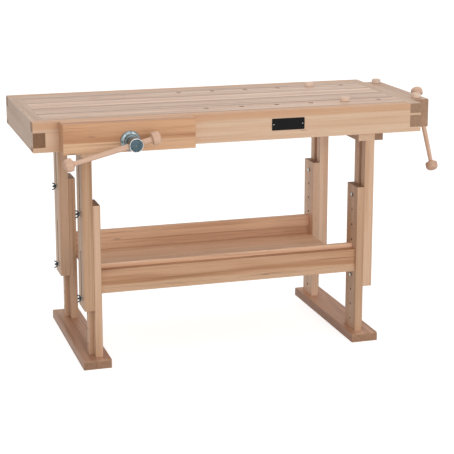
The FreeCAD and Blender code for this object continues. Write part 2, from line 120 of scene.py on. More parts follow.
# ---------------------------------------------------------------- shader maths
class Value:
    """A shader socket on which Python's arithmetic adds Math nodes."""

    def __init__(self, graph: Graph, socket: bpy.types.NodeSocket) -> None:
        """Keeps the graph and the socket it wraps."""
        self.graph = graph
        self.socket = socket

    def _math(self, operation: str, *terms: Value | float) -> Value:
        """Adds one Math node.

        Args:
            operation: The Math node's operation.
            terms: Its inputs in order.

        Returns:
            The node's result.
        """
        return self.graph.node("ShaderNodeMath", {"operation": operation},
                               dict(enumerate(terms)))

    def __add__(self, other: Value | float) -> Value:
        """Sum."""
        return self._math("ADD", self, other)

    __radd__ = __add__

    def __sub__(self, other: Value | float) -> Value:
        """Difference."""
        return self._math("SUBTRACT", self, other)

    def __rsub__(self, other: Value | float) -> Value:
        """Difference with the socket on the right."""
        return self._math("SUBTRACT", other, self)

    def __mul__(self, other: Value | float) -> Value:
        """Product."""
        return self._math("MULTIPLY", self, other)

    __rmul__ = __mul__

    def __pow__(self, other: Value | float) -> Value:
        """Power."""
        return self._math("POWER", self, other)

    def __rpow__(self, other: Value | float) -> Value:
        """Power with the socket as its exponent."""
        return self._math("POWER", other, self)

    def floor(self) -> Value:
        """Whole part."""
        return self._math("FLOOR", self)

    def fract(self) -> Value:
        """Part after the point."""
        return self._math("FRACT", self)

    def distance(self, middle: float) -> Value:
        """How far the value is from a middle one."""
        return self._math("ABSOLUTE", self - middle)

    def ramp(self, low: float, high: float) -> Value:
        """A smooth step.

        Args:
            low: Where the result is 0.
            high: Where the result is 1; it may be the smaller one.

        Returns:
            A value from 0 to 1.
        """
        return self.graph.node("ShaderNodeMapRange", {"interpolation_type": "SMOOTHSTEP"},
                               {"Value": self, "From Min": low, "From Max": high})

    def output(self, name: str) -> Value:
        """Another output of the same node."""
        return Value(self.graph, self.socket.node.outputs[name])


class Graph:
    """Builds the nodes of one material or of the world."""

    def __init__(self, owner: bpy.types.Material | bpy.types.World) -> None:
        """Empties the node tree that it builds in.

        Args:
            owner: The material or world whose look it makes.
        """
        owner.use_nodes = True
        self.tree = owner.node_tree
        self.tree.nodes.clear()

    def _add(self, kind: str, settings: dict, inputs: dict) -> bpy.types.Node:
        """Adds any node.

        Args:
            kind: The node's type.
            settings: Its properties, set first.
            inputs: Numbers, colours or links for its sockets, by name or place.

        Returns:
            The node.
        """
        made = self.tree.nodes.new(kind)
        for key, value in settings.items():
            setattr(made, key, value)
        for key, value in inputs.items():
            if isinstance(value, Value):
                self.tree.links.new(value.socket, made.inputs[key])
            else:
                made.inputs[key].default_value = value
        return made

    def node(self, kind: str, settings: dict, inputs: dict, output: str | int = 0) -> Value:
        """Adds any node and hands on one of its outputs.

        Args:
            kind: The node's type.
            settings: Its properties, set first.
            inputs: Numbers, colours or links for its sockets, by name or place.
            output: The output that is wanted.

        Returns:
            That output.
        """
        return Value(self, self._add(kind, settings, inputs).outputs[output])

    def attribute(self, name: str, output: str = "Fac") -> Value:
        """A value that is stored on the mesh."""
        return self.node("ShaderNodeAttribute", {"attribute_name": name}, {}, output)

    def vector(self, x: Value | float, y: Value | float, z: Value | float) -> Value:
        """Joins three values into a vector."""
        return self.node("ShaderNodeCombineXYZ", {}, {0: x, 1: y, 2: z})

    def stretched(self, at: Value, stretch: Stretch) -> Value:
        """A place in a space that is stretched along each axis."""
        return self.node("ShaderNodeVectorMath", {"operation": "MULTIPLY"},
                         {0: at, 1: stretch})

    def noise(self, at: Value, kind: Noise) -> Value:
        """Noise in a stretched space.

        Args:
            at: The place in millimetres.
            kind: Which noise.

        Returns:
            A value from 0 to 1, mostly near 0.5.
        """
        return self.node("ShaderNodeTexNoise", {"noise_dimensions": "3D"},
                         {"Vector": self.stretched(at, kind.stretch), "Scale": 1.0,
                          "Detail": kind.detail, "Roughness": kind.roughness})

    def patches(self, at: Value, kind: Noise) -> Value:
        """The part of a noise that shows: 0 below its range and 1 above it."""
        return self.noise(at, kind).ramp(kind.low, kind.high)

    def blend(self, factor: Value | float, first: Value | Colour, second: Value | Colour,
              mode: str = "MIX") -> Value:
        """Blends two colours.

        Args:
            factor: 0 for the first and 1 for the second.
            first: A colour.
            second: A colour.
            mode: The Mix node's blend type.

        Returns:
            The blended colour.
        """
        colours = {6: first, 7: second}     # after the sockets for numbers and vectors
        return self.node("ShaderNodeMix", {"data_type": "RGBA", "blend_type": mode},
                         {0: factor, **colours}, 2)

    def scaled(self, colour: Value, by: Value) -> Value:
        """A colour made lighter or darker."""
        return self.node("ShaderNodeVectorMath", {"operation": "SCALE"},
                         {0: colour, "Scale": by})

    def background_rays(self) -> Value:
        """Tells the rays that show the background from those that light the bench.

        Returns:
            1 for what is seen directly, in gloss or through glass, and 0 for the rest.
        """
        rays = self.node("ShaderNodeLightPath", {}, {}, "Is Camera Ray")
        rays = rays + rays.output("Is Glossy Ray") + rays.output("Is Transmission Ray")
        return rays.ramp(0.0, 1.0)

    def choice(self, factor: Value, first: Value, second: Value) -> Value:
        """Mixes two shaders, the first at 0 and the second at 1."""
        return self.node("ShaderNodeMixShader", {}, {0: factor, 1: first, 2: second})

    def coat(self, colour: Value, roughness: Value, height: Value, depth_mm: float,
             constants: dict[str, float]) -> None:
        """Adds the surface shader and the output.

        Args:
            colour: Base colour.
            roughness: Roughness.
            height: Height of the relief from 0 to 1.
            depth_mm: What a height of 1 stands for.
            constants: Plain numbers for other sockets of the shader.
        """
        relief = self.node("ShaderNodeBump", {}, {"Height": height, "Strength": 0.7,
                                                  "Distance": depth_mm * MM})
        self.surface(self.node("ShaderNodeBsdfPrincipled", {},
                               {"Base Color": colour, "Roughness": roughness,
                                "Normal": relief, **constants}))

    def surface(self, shader: Value) -> None:
        """Makes a shader the look of a material."""
        self._add("ShaderNodeOutputMaterial", {}, {"Surface": shader})

    def surroundings(self, shader: Value) -> None:
        """Makes a shader the look of the world."""
        self._add("ShaderNodeOutputWorld", {}, {"Surface": shader})


# ---------------------------------------------------------------- noises
@dataclass(frozen=True)
class Noise:
    """An unevenness of a material."""

    stretch: Stretch            # noise cells for each millimetre, on each axis
    detail: float = 2.0         # octaves
    roughness: float = 0.5      # strength of the fine octaves
    low: float = 0.0            # where its patches start
    high: float = 1.0           # where its patches are full


# In the wood the axes are along, across and into it.
DRIFT = Noise((0.0011, 0.026, 0.026), 3.0, 0.6, 0.38, 0.62)
STREAK = Noise((0.0014, 0.11, 0.11), 4.0, 0.62, 0.52, 0.68)
FLECK = Noise((0.30, 2.3, 2.3), 1.0, low=0.60, high=0.72)
FIBRE = Noise((0.04, 1.6, 1.6), 3.0, 0.65)
BAND_EDGE = Noise((0.0016, 0.01, 0.01), 3.0, 0.6)
RING_SWAY = Noise((0.0022, 0.012, 0.012))
RING_TREMBLE = Noise((0.012, 0.11, 0.11))
PORE = Noise((0.2, 2.6, 2.6), 2.0, 0.7, 0.4, 0.7)
END_CLOUD = Noise((0.02, 0.09, 0.09), low=0.3, high=0.7)
OIL = Noise((0.02, 0.3, 0.3))
# On turned steel they are along, outwards and round the piece.
TOOL_LINE = Noise((2.6, 2.6, 0.02), 2.0, 0.6)
STAIN = Noise((0.12, 0.12, 0.12), 3.0, 0.6, 0.35, 0.7)
ORANGE_PEEL = Noise((0.9, 0.9, 0.9))
DUST = Noise((0.05, 0.2, 0.2), 4.0, 0.7, 0.5, 0.8)

KNOT_CELLS = (0.0036, 0.022, 0.022)
KNOT_EDGE, KNOT_CORE = 0.085, 0.045     # of a cell
END_FROM, END_FULL = 0.55, 0.85         # how far a face looks along the fibres


# ---------------------------------------------------------------- finishes
@dataclass(frozen=True)
class Finish:
    """A finish that makes its material once."""

    name: str

    def material(self) -> bpy.types.Material:
        """Makes the material, unless it has been made before.

        Returns:
            The material.
        """
        made = bpy.data.materials.get(self.name)
        if made is None:
            made = bpy.data.materials.new(self.name)
            self.paint(Graph(made))
        return made

    def paint(self, graph: Graph) -> None:
        """Adds the nodes of this kind of finish to an empty graph."""
        raise NotImplementedError


@dataclass(frozen=True)
class BeechFinish(Finish):
    """Oiled beech: growth rings, long streaks, ray flecks and end grain.

    Colours are web colours, strengths go from 0 to 1, and names in mm are lengths. The
    mesh brings the place in the wood in millimetres ("grain"), how far below the board's
    top it is ("below"), how far a face looks along the fibres ("end"), the board's own
    tone ("tone"), the eased edges ("arris"), which get wear and a painted highlight, and
    the walls of bored holes ("bore"), which get painted shade. The place in the wood is
    along, across and into it.
    """

    pale: str
    warm: str
    dark: str
    end_pale: str
    end_dark: str
    drift: float = 0.8                  # strength of the warm patches
    streaks: float = 0.35
    rings: float = 0.22
    ring_mm: float = 5.0
    ring_flat: float = 0.55             # how flat the rings lie across the board
    ring_sway_mm: float = 42.0          # how far they bend along the board
    ring_sway_deep: float = 0.6         # how much of it goes into the board
    ring_tremble: float = 0.9           # how far they tremble, in rings
    late_power: float = 3.0             # the higher, the thinner the late wood
    end_ring_share: float = 0.8         # width of the rings on the sawn ends
    end_ring_flat: float = 0.5
    end_rings: float = 0.45
    end_clouds: float = 0.3
    end_pores: float = 0.35
    flecks: float = 0.3
    pins: float = 0.35                  # pin knots
    strip_mm: float = 0.0               # width of the glued strips, if there are any
    strip_contrast: float = 0.12
    strip_jump_mm: float = 1900.0       # how far apart the strips were in the log
    strip_jump_deep_mm: float = 130.0
    seam_mm: float = 0.5
    seam_shade: float = 0.5
    board_mm: float = 0.0               # width of the boards, where their edges darken
    board_shade: float = 0.3
    board_edge_mm: float = 5.0
    edge_highlight_and_wear: float = 0.18            # how much the eased edges get wear and a painted highlight
    band: str = ""                      # colour of a band along the board, if it has one
    band_from: float = 0.0              # millimetres below the board's top
    band_to: float = 0.0
    band_strength: float = 0.8
    band_waver_mm: float = 26.0
    band_near_blur_mm: float = 4.0
    band_far_blur_mm: float = 5.0
    fibre_contrast: float = 0.14
    tone_reach: float = 0.08            # how far boards differ in tone, either way
    # strength of the painted shade inside bored holes
    bore_painted_shade: float = 0.75
    roughness: float = 0.52
    roughness_range: float = 0.16
    end_roughness: float = 0.12         # how much rougher the sawn ends are
    relief_mm: float = 0.12

    @property
    def repeat_mm(self) -> float:
        """Width after which the glued strips start again."""
        return self.board_mm or self.strip_mm or 1.0

    def paint(self, graph: Graph) -> None:
        """Adds the wood's nodes.

        Args:
            graph: The material's graph, still empty.
        """
        place = graph.attribute("grain", "Vector")
        split = graph.node("ShaderNodeSeparateXYZ", {}, {0: place}, "X")
        along, across, deep = split, split.output("Y"), split.output("Z")
        end = graph.attribute("end").ramp(END_FROM, END_FULL)
        chance, seam = self._strips(graph, across)
        along = along + chance * self.strip_jump_mm
        deep = deep + chance * self.strip_jump_deep_mm
        at = graph.vector(along, across, deep)
        colour, height = self._face_grain(graph, at, across, deep)
        colour = graph.blend(seam, colour, linear(self.dark))
        colour = graph.blend(end, colour, self._end_grain(graph, at, across, deep))
        lift = (graph.attribute("tone") - 0.5) * (2 * self.tone_reach)
        lift = lift + (chance - 0.5) * (2 * self.strip_contrast) + 1.0
        colour = graph.scaled(colour, lift)
        # wear and a painted highlight on the eased edges
        colour = graph.blend(graph.attribute("arris") * self.edge_highlight_and_wear, colour,
                             linear(self.pale), "SCREEN")
        # painted shade on the walls of bored holes
        colour = graph.blend(graph.attribute("bore") * self.bore_painted_shade, colour,
                             linear(PAINTED_HOLE_SHADE))
        rough = (graph.noise(at, OIL) * self.roughness_range
                 + (self.roughness - self.roughness_range / 2))
        graph.coat(colour, rough + end * self.end_roughness, height, self.relief_mm,
                   {"Coat Weight": 0.08, "Coat Roughness": 0.35,
                    "Specular IOR Level": 0.35})

    def _strips(self, graph: Graph, across: Value) -> tuple[Value | float, Value | float]:
        """Glued strips.

        Args:
            graph: The material's graph.
            across: Place across the fibres.

        Returns:
            A chance number for each strip, and the darkening along the joints.
        """
        seam: Value | float = 0.0
        chance: Value | float = 0.5
        if self.strip_mm:
            count = across * (1 / self.strip_mm)
            chance = graph.node("ShaderNodeTexWhiteNoise", {"noise_dimensions": "1D"},
                                {"W": count.floor()})
            reach = self.seam_mm / self.strip_mm
            seam = count.fract().distance(0.5).ramp(0.5 - reach, 0.5 - reach * 0.3)
            seam = seam * self.seam_shade
        if self.board_mm:
            reach = self.board_edge_mm / self.board_mm
            edge = (across * (1 / self.board_mm)).fract().distance(0.5)
            edge = edge.ramp(0.5 - reach, 0.5 - reach * 0.2) * self.board_shade
            seam = edge + seam
        return chance, seam

    def _face_grain(self, graph: Graph, at: Value, across: Value,
                    deep: Value) -> tuple[Value, Value]:
        """Figure of the long faces.

        Args:
            graph: The material's graph.
            at: Place in the wood.
            across: Its second part.
            deep: Its third part.

        Returns:
            The colour and the height of the relief.
        """
        drift = graph.patches(at, DRIFT)
        late = self._rings(graph, at, across, deep)
        streak = graph.patches(at, STREAK)
        fleck = graph.patches(at, FLECK)
        fibre = graph.noise(at, FIBRE)
        colour = graph.blend(drift * self.drift, linear(self.pale), linear(self.warm))
        if self.band:
            colour = graph.blend(self._band(graph, at), colour, linear(self.band))
        colour = graph.blend(late * self.rings, colour, linear(self.dark))
        colour = graph.blend(streak * self.streaks, colour, linear(self.dark))
        colour = graph.blend(fleck * self.flecks, colour, linear(self.dark))
        colour = graph.blend(self._pins(graph, at) * self.pins, colour, linear(KNOT_WOOD))
        contrast = self.fibre_contrast
        colour = graph.scaled(colour, fibre * contrast + (1.0 - contrast / 2))
        return colour, fibre * 0.6 - fleck * 0.4 + late * 0.2

    def _band(self, graph: Graph, at: Value) -> Value:
        """A band of other wood along the board, with a wavering edge.

        Args:
            graph: The material's graph.
            at: Place in the wood.

        Returns:
            Its strength.
        """
        waver = (graph.noise(at, BAND_EDGE) - 0.5) * self.band_waver_mm
        below = graph.attribute("below") + waver
        near, far = self.band_near_blur_mm, self.band_far_blur_mm
        inside = (below.ramp(self.band_from - near, self.band_from + near)
                  * below.ramp(self.band_to + far, self.band_to - far))
        return inside * self.band_strength

    def _rings(self, graph: Graph, at: Value, across: Value, deep: Value) -> Value:
        """Late wood of the growth rings, which bend slowly along the board.

        Args:
            graph: The material's graph.
            at: Place in the wood.
            across: Its second part.
            deep: Its third part.

        Returns:
            0 in the early wood and 1 in the late wood.
        """
        sway = (graph.noise(at, RING_SWAY) - 0.5) * self.ring_sway_mm
        side = (across + sway) * self.ring_flat
        depth = deep + sway * self.ring_sway_deep
        radius = (side * side + depth * depth) ** 0.5
        tremble = (graph.noise(at, RING_TREMBLE) - 0.5) * self.ring_tremble
        return (radius * (1 / self.ring_mm) + tremble).fract() ** self.late_power

    def _pins(self, graph: Graph, at: Value) -> Value:
        """Small dark pin knots, a few to a board.

        Args:
            graph: The material's graph.
            at: Place in the wood.

        Returns:
            1 in a knot and 0 outside.
        """
        cells = graph.stretched(at, KNOT_CELLS)
        from_knot = graph.node("ShaderNodeTexVoronoi", {"voronoi_dimensions": "3D"},
                               {"Vector": cells, "Scale": 1.0}, "Distance")
        return from_knot.ramp(KNOT_EDGE, KNOT_CORE)

    def _end_grain(self, graph: Graph, at: Value, across: Value, deep: Value) -> Value:
        """Sawn ends: ring arcs and open pores.

        Args:
            graph: The material's graph.
            at: Place in the wood.
            across: Its second part.
            deep: Its third part.

        Returns:
            The colour.
        """
        radius = ((across * self.end_ring_flat) ** 2.0 + deep ** 2.0) ** 0.5
        ring_mm = self.ring_mm * self.end_ring_share
        arc = (radius * (1 / ring_mm)).fract().ramp(0.1, 1.0)
        shade = arc * self.end_rings + graph.patches(at, END_CLOUD) * self.end_clouds
        colour = graph.blend(shade, linear(self.end_pale), linear(self.end_dark))
        return graph.blend(graph.patches(at, PORE) * self.end_pores, colour,
                           linear(self.end_dark))


@dataclass(frozen=True)
class SteelFinish(Finish):
    """Turned, drawn or plated steel with fine tool marks and faint stains."""

    light: str
    dark: str                           # colour of the stains
    roughness: float = 0.2              # between the tool marks, where it is clean
    marks: float = 0.5                  # strength of the tool marks
    metallic: float = 1.0
    edge_highlight_and_wear: float = 0.4             # how much the marked edges get bare worn steel and a painted highlight
    stain_roughness: float = 0.14
    line_roughness: float = 0.12
    line_contrast: float = 0.2
    line_mm: float = 0.03

    def paint(self, graph: Graph) -> None:
        """Adds the steel's nodes.

        Args:
            graph: The material's graph, still empty.
        """
        at = graph.attribute("grain", "Vector")
        line, stain = graph.noise(at, TOOL_LINE), graph.patches(at, STAIN)
        contrast = self.line_contrast
        colour = graph.blend(stain, linear(self.light), linear(self.dark))
        colour = graph.scaled(colour, line * contrast + (1.0 - contrast / 2))
        # bare worn steel and a painted highlight on the marked edges
        colour = graph.blend(graph.attribute("arris") * self.edge_highlight_and_wear, colour,
                             linear(WORN_STEEL_HIGHLIGHT))
        rough = stain * self.stain_roughness + line * self.line_roughness + self.roughness
        graph.coat(colour, rough, line, self.line_mm * self.marks,
                   {"Metallic": self.metallic})


@dataclass(frozen=True)
class LacquerFinish(Finish):
    """Matt lacquer on a thin plate, with a faint orange peel and rubbed edges."""

    colour: str
    rubbed: str
    dust: float = 0.15
    edge_highlight_and_wear: float = 0.5             # how far the edges are rubbed
    roughness: float = 0.44
    peel_roughness: float = 0.15
    peel_mm: float = 0.03

    def paint(self, graph: Graph) -> None:
        """Adds the lacquer's nodes.

        Args:
            graph: The material's graph, still empty.
        """
        at = graph.attribute("grain", "Vector")
        peel = graph.noise(at, ORANGE_PEEL)
        colour = graph.blend(graph.patches(at, DUST) * self.dust, linear(self.colour),
                             linear(self.rubbed))
        colour = graph.blend(graph.attribute("arris") * self.edge_highlight_and_wear, colour,
                             linear(self.rubbed))
        graph.coat(colour, peel * self.peel_roughness + self.roughness, peel, self.peel_mm,
                   {"Specular IOR Level": 0.12})


@dataclass(frozen=True)
class FloorFinish(Finish):
    """A white studio floor that keeps the soft shadow of what stands on it."""

    plain: Colour = (0.72, 0.72, 0.71, 1.0)         # what it sends up to the bench
    dull: Colour = (0.50, 0.50, 0.50, 1.0)          # what shows of the shadow
    glow: float = 0.80

    def paint(self, graph: Graph) -> None:
        """Adds the floor's nodes.

        Args:
            graph: The material's graph, still empty.
        """
        plain = graph.node("ShaderNodeBsdfDiffuse", {}, {"Color": self.plain})
        dull = graph.node("ShaderNodeBsdfDiffuse", {}, {"Color": self.dull})
        glow = graph.node("ShaderNodeEmission", {}, {"Color": WHITE, "Strength": self.glow})
        bright = graph.node("ShaderNodeAddShader", {}, {0: dull, 1: glow})
        graph.surface(graph.choice(graph.background_rays(), plain, bright))


class Beech(Enum):
    """The beech finishes of this bench."""

    TOP = BeechFinish("oiled_top", "E0C4B0", "CAA891", "7C5840", "B08A6C", "8C684E",
                      drift=0.9, streaks=0.55, rings=0.2, flecks=0.3, pins=0.6,
                      strip_mm=125 / 3, strip_contrast=0.07, seam_shade=0.6, board_mm=125.0,
                      board_shade=0.85, board_edge_mm=7.0, edge_highlight_and_wear=0.0, bore_painted_shade=0.1)
    # a darker copy of the right cap's beech, painted shade for the left end
    CAP_LEFT = BeechFinish("oiled_left_cap", "CBAE98", "B9977E", "9C7D64", "926C4E",
                           "684830", streaks=0.3)
    CAP_RIGHT = BeechFinish("oiled_right_cap", "D0B49E", "BF9D84", "A08168", "AE8C72",
                            "84644C", streaks=0.3)
    APRON = BeechFinish("oiled_apron", "DABB9F", "CEA485", "B98F70", "A87E60", "86604A",
                        drift=0.6, streaks=0.35, rings=0.16, band="C48F66", band_from=-20.0,
                        band_to=27.0, band_strength=0.55)
    JAW_UPPER = BeechFinish("oiled_jaw_upper", "D6A57E", "BA865F", "8A5636", "DCAD88",
                            "B08061", drift=1.0, streaks=0.6, rings=0.3)
    JAW_LOWER = BeechFinish("oiled_jaw_lower", "E2B893", "D3A27C", "9C7354", "DCAD88",
                            "B08061", streaks=0.5, rings=0.2, pins=0.7)
    JAW_END = BeechFinish("oiled_jaw_end", "CFB098", "BC987E", "946F58", "B6937A",
                          "947058", streaks=0.5, rings=0.3)
    POST = BeechFinish("oiled_post", "D6B296", "C29A7A", "9C7456", "A8846A", "7E5C46",
                       drift=0.9, streaks=0.4, rings=0.22, bore_painted_shade=1.0)
    # a lighter copy of the post beech, painted light for the back posts under the top
    POST_PALE = BeechFinish("oiled_pale_post", "EBCBB1", "D9B497", "B08A6C", "A8846A",
                            "7E5C46", drift=0.9, streaks=0.4, rings=0.22, bore_painted_shade=1.0)
    # a darker copy of the post beech, painted shade for a post in the jaw's shadow
    POST_DEEP = BeechFinish("oiled_deep_post", "CBA383", "B58B68", "906A4A", "A8846A",
                            "7E5C46", drift=0.9, streaks=0.4, rings=0.22, bore_painted_shade=1.0)
    # post beech with lighter end grain, painted light on the ends in the top's shade
    BEARER = BeechFinish("oiled_bearer", "D6B296", "C29A7A", "9C7456", "E4C4A8", "CDA98C",
                         drift=0.9, streaks=0.4, rings=0.22)
    FOOT = BeechFinish("oiled_foot", "CBA084", "B38468", "8A6248", "A98468", "7F5C46",
                       drift=0.9, streaks=0.4, strip_mm=53.0, strip_contrast=0.07)
    RAIL = BeechFinish("oiled_rail", "D0A482", "B4845E", "8C5F42", "A5805F", "7E5A42",
                       drift=1.0, streaks=0.7, rings=0.35, band="D8B292", band_from=62.0,
                       band_to=120.0, band_strength=0.85)
    # lighter than the other beech: painted light for the tray in the top's shade
    WALL = BeechFinish("oiled_wall_painted_lit", "EEC8A8", "D6AA8A", "A87A5C", "CDA888", "A07C60",
                       drift=1.0, streaks=0.7, rings=0.35)
    SHELF = BeechFinish("oiled_shelf", "FCD8B8", "F0C4A2", "C2966E", "CDA888", "A07C60",
                        drift=0.9, streaks=0.4, strip_mm=52.0, strip_contrast=0.05)
    TURNED = BeechFinish("oiled_turned", "E2BEA7", "D2A98F", "A67C64", "DCB69E", "B68C72",
                         drift=0.6, streaks=0.3, rings=0.2, flecks=0.2, pins=0.0,
                         roughness=0.42)
    DOG = BeechFinish("oiled_dog", "F0DACA", "E0C5B1", "B4947E", "E6CCB8", "C4A48C",
                      drift=0.8, streaks=0.4, rings=0.3, flecks=0.2, pins=0.0,
                      roughness=0.45)


class Steel(Enum):
    """The steel finishes of this bench."""

    PLATED = SteelFinish("zinc_plated_steel", "98A4A7", "76858B", roughness=0.30)
    # its marked rim gets a full painted highlight
    HUB = SteelFinish("satin_hub_steel", "7F8C90", "68767C", roughness=0.26, marks=0.7,
                      edge_highlight_and_wear=1.0)
    DISC = SteelFinish("dark_disc_steel", "4C5B61", "3F4D53", roughness=0.4, marks=0.7)
    DRAWN = SteelFinish("drawn_rod_steel", "AEB6B9", "8D979B", roughness=0.16)
    CAST = SteelFinish("painted_cast_steel", "6C777C", "59656A", roughness=0.4, marks=1.2,
                       metallic=0.7)
    FASTENER = SteelFinish("zinc_fastener_steel", "D2D6D6", "A9AFB0", roughness=0.22)
    BLACKENED = SteelFinish("blackened_steel", "505152", "363738", roughness=0.26,
                            marks=0.7, edge_highlight_and_wear=0.3)


class Lacquer(Enum):
    """The lacquer of the plate."""

    BLACK = LacquerFinish("black_lacquer", "0B0B0D", "2C2C30")


Look = Beech | Steel | Lacquer


# ---------------------------------------------------------------- makers
class Axis(Enum):
    """Directions of the bench, in which fibres run and screws point."""

    ALONG = Vector((1, 0, 0))
    ACROSS = Vector((0, 1, 0))
    UP = Vector((0, 0, 1))


def aimed(at: Vector, direction: Vector) -> Matrix:
    """A frame whose Z points in a direction.

    Args:
        at: Its origin in metres.
        direction: Where its Z points.

    Returns:
        The frame's matrix, which also turns millimetres into metres.
    """
    turn = direction.to_track_quat("Z", "Y").to_matrix().to_4x4()
    return Matrix.Translation(at) @ turn @ Matrix.Scale(MM, 4)


def framed(at: Vector, forward: Vector, side: Vector) -> Matrix:
    """A frame with its Z in one direction and its X in another, square to it.

    Args:
        at: Its origin in metres.
        forward: Where its Z points.
        side: Where its X points.

    Returns:
        The frame's matrix, which also turns millimetres into metres.
    """
    turn = Matrix((side, forward.cross(side), forward)).transposed().to_4x4()
    return Matrix.Translation(at) @ turn @ Matrix.Scale(MM, 4)


def rounded(points: Profile, radius: float, steps: int = 4) -> list[tuple[float, float]]:
    """Rounds the inner corners of a profile.

    Args:
        points: Corners in order.
        radius: How far before and after a corner the curve starts and ends, at most.
        steps: Points on each curve, less one.

    Returns:
        The profile with its corners rounded.
    """
    made = [tuple(points[0])]
    for before, corner, after in zip(points, points[1:], points[2:]):
        a, b, c = Vector(before), Vector(corner), Vector(after)
        back = min(radius, (a - b).length * 0.45)
        ahead = min(radius, (c - b).length * 0.45)
        start = b + (a - b).normalized() * back
        stop = b + (c - b).normalized() * ahead
        for k in range(steps + 1):
            t = k / steps
            spot = start * (1 - t) ** 2 + b * (2 * t * (1 - t)) + stop * t ** 2
            made.append((spot.x, spot.y))
    made.append(tuple(points[-1]))
    return made


class Maker:
    """Makes meshes and objects, and marks on them what the finishes read."""

    def __init__(self, nodes: dict[str, bpy.types.Object]) -> None:
        """Keeps the bench's solids by name."""
        self.nodes = nodes

    def turned(self, profile: Profile, frame: Matrix,
               segments: int = 48) -> bmesh.types.BMesh:
        """Turns a profile about the frame's Z.

        Args:
            profile: Points of (along, radius) in millimetres; it starts and ends on the
                axis, or is closed into a ring by its last point.
            frame: Where the piece goes, from millimetres to metres.
            segments: Steps around.

        Returns:
            The mesh, with "grain" holding along, radius and arc length.
        """
        mesh = bmesh.new()
        layer = mesh.verts.layers.float_vector.new("grain")
        rings = []
        for along, radius in profile:
            count = 1 if radius < 1e-6 else segments
            ring = []
            for k in range(count):
                angle = 2 * math.pi * k / segments
                spot = Vector((radius * math.cos(angle), radius * math.sin(angle), along))
                vert = mesh.verts.new(frame @ spot)
                vert[layer] = (along, radius, angle * TURNED_MM)
                ring.append(vert)
            rings.append(ring)
        for first, second in zip(rings, rings[1:]):
            for k in range(segments):
                n = (k + 1) % segments
                corners = [first[k % len(first)], first[n % len(first)],
                           second[n % len(second)], second[k % len(second)]]
                unique = list(dict.fromkeys(corners))
                if len(unique) > 2:
                    mesh.faces.new(unique)
        bmesh.ops.recalc_face_normals(mesh, faces=mesh.faces)
        return mesh

    def threaded(self, outer: float, root: float, pitch: float, length: float,
                 frame: Matrix, segments: int = 36) -> bmesh.types.BMesh:
        """A rod with a helical thread that fades out at both ends.

        Args:
            outer: Radius over the thread.
            root: Radius at its root.
            pitch: Rise for each turn.
            length: Length of the rod.
            frame: Where it goes; the rod runs along Z from the origin.
            segments: Steps in a turn.

        Returns:
            The closed mesh.
        """
        mesh = bmesh.new()
        layer = mesh.verts.layers.float_vector.new("grain")
        steps = int((length - pitch) / pitch * segments)
        rows = []
        for i in range(steps + 1):
            angle = 2 * math.pi * i / segments
            fade = min(1.0, i / segments, (steps - i) / segments)
            row = []
            for rise, crest in THREAD_SHAPE:
                radius = root + (outer - root) * crest * fade
                along = pitch * (i / segments + rise)
                spot = Vector((radius * math.cos(angle), radius * math.sin(angle), along))
                vert = mesh.verts.new(frame @ spot)
                vert[layer] = (along, radius, angle * THREAD_MM)
                row.append(vert)
            rows.append(row)
        for i in range(steps):
            for k in range(3):
                mesh.faces.new((rows[i][k], rows[i][k + 1],
                                rows[i + 1][k + 1], rows[i + 1][k]))
            if i + segments < steps:
                mesh.faces.new((rows[i][3], rows[i + segments][0],
                                rows[i + segments + 1][0], rows[i + 1][3]))
        first = [rows[i][0] for i in range(segments + 1)] + rows[0][:0:-1]
        last = [rows[i][3] for i in range(steps - segments, steps + 1)] + rows[steps][2::-1]
        for loop, along in ((first, pitch * 0.5), (last, length - pitch * 0.5)):
            hub = mesh.verts.new(frame @ Vector((0, 0, along)))
            for a, b in zip(loop, loop[1:] + loop[:1]):
                mesh.faces.new((a, b, hub))
        bmesh.ops.recalc_face_normals(mesh, faces=mesh.faces)
        return mesh

    def eased(self, node: str, width: float,
              keep: Callable[[Vector], bool] | None = None) -> bmesh.types.BMesh:
        """Copies a solid and eases its sharp edges.

        Args:
            node: The solid's name.
            width: Width of the easing in millimetres.
            keep: Says whether a face is wanted, from a point just inside it in metres;
                this picks one of several boards that touch.

        Returns:
            The mesh, its eased edges marked "arris".
        """
        mesh = bmesh.new()
        mesh.from_mesh(self.nodes[node].data)
        if keep:
            mesh.normal_update()
            others = [face for face in mesh.faces
                      if not keep(face.calc_center_median() - face.normal * INSIDE)]
            bmesh.ops.delete(mesh, geom=others, context="FACES")
        bmesh.ops.remove_doubles(mesh, verts=mesh.verts, dist=WELD)
        bmesh.ops.dissolve_limit(mesh, angle_limit=FLAT, verts=mesh.verts,
                                 edges=mesh.edges)
        self._mark_shaded_bores(mesh)
        mark = mesh.faces.layers.float.new("arris")
        sharp = [e for e in mesh.edges
                 if len(e.link_faces) == 2 and e.calc_face_angle(0.0) > SHARP]
        made = bmesh.ops.bevel(mesh, geom=sharp, offset=width * MM, offset_type="OFFSET",
                               segments=2, profile=0.55, affect="EDGES", clamp_overlap=False)
        for face in made["faces"]:
            face[mark] = 1.0
        return mesh

    def _mark_shaded_bores(self, mesh: bmesh.types.BMesh) -> None:
        """Marks the walls of round holes for painted shade: smooth rings of faces that bend
        inwards.

        Args:
            mesh: The mesh to mark.
        """
        bore = mesh.faces.layers.float.new("bore")
        mesh.normal_update()
        for edge in mesh.edges:
            if len(edge.link_faces) != 2 or edge.is_convex:
                continue
            if CURVED < edge.calc_face_angle(0.0) < SHARP:
                for face in edge.link_faces:
                    face[bore] = 1.0

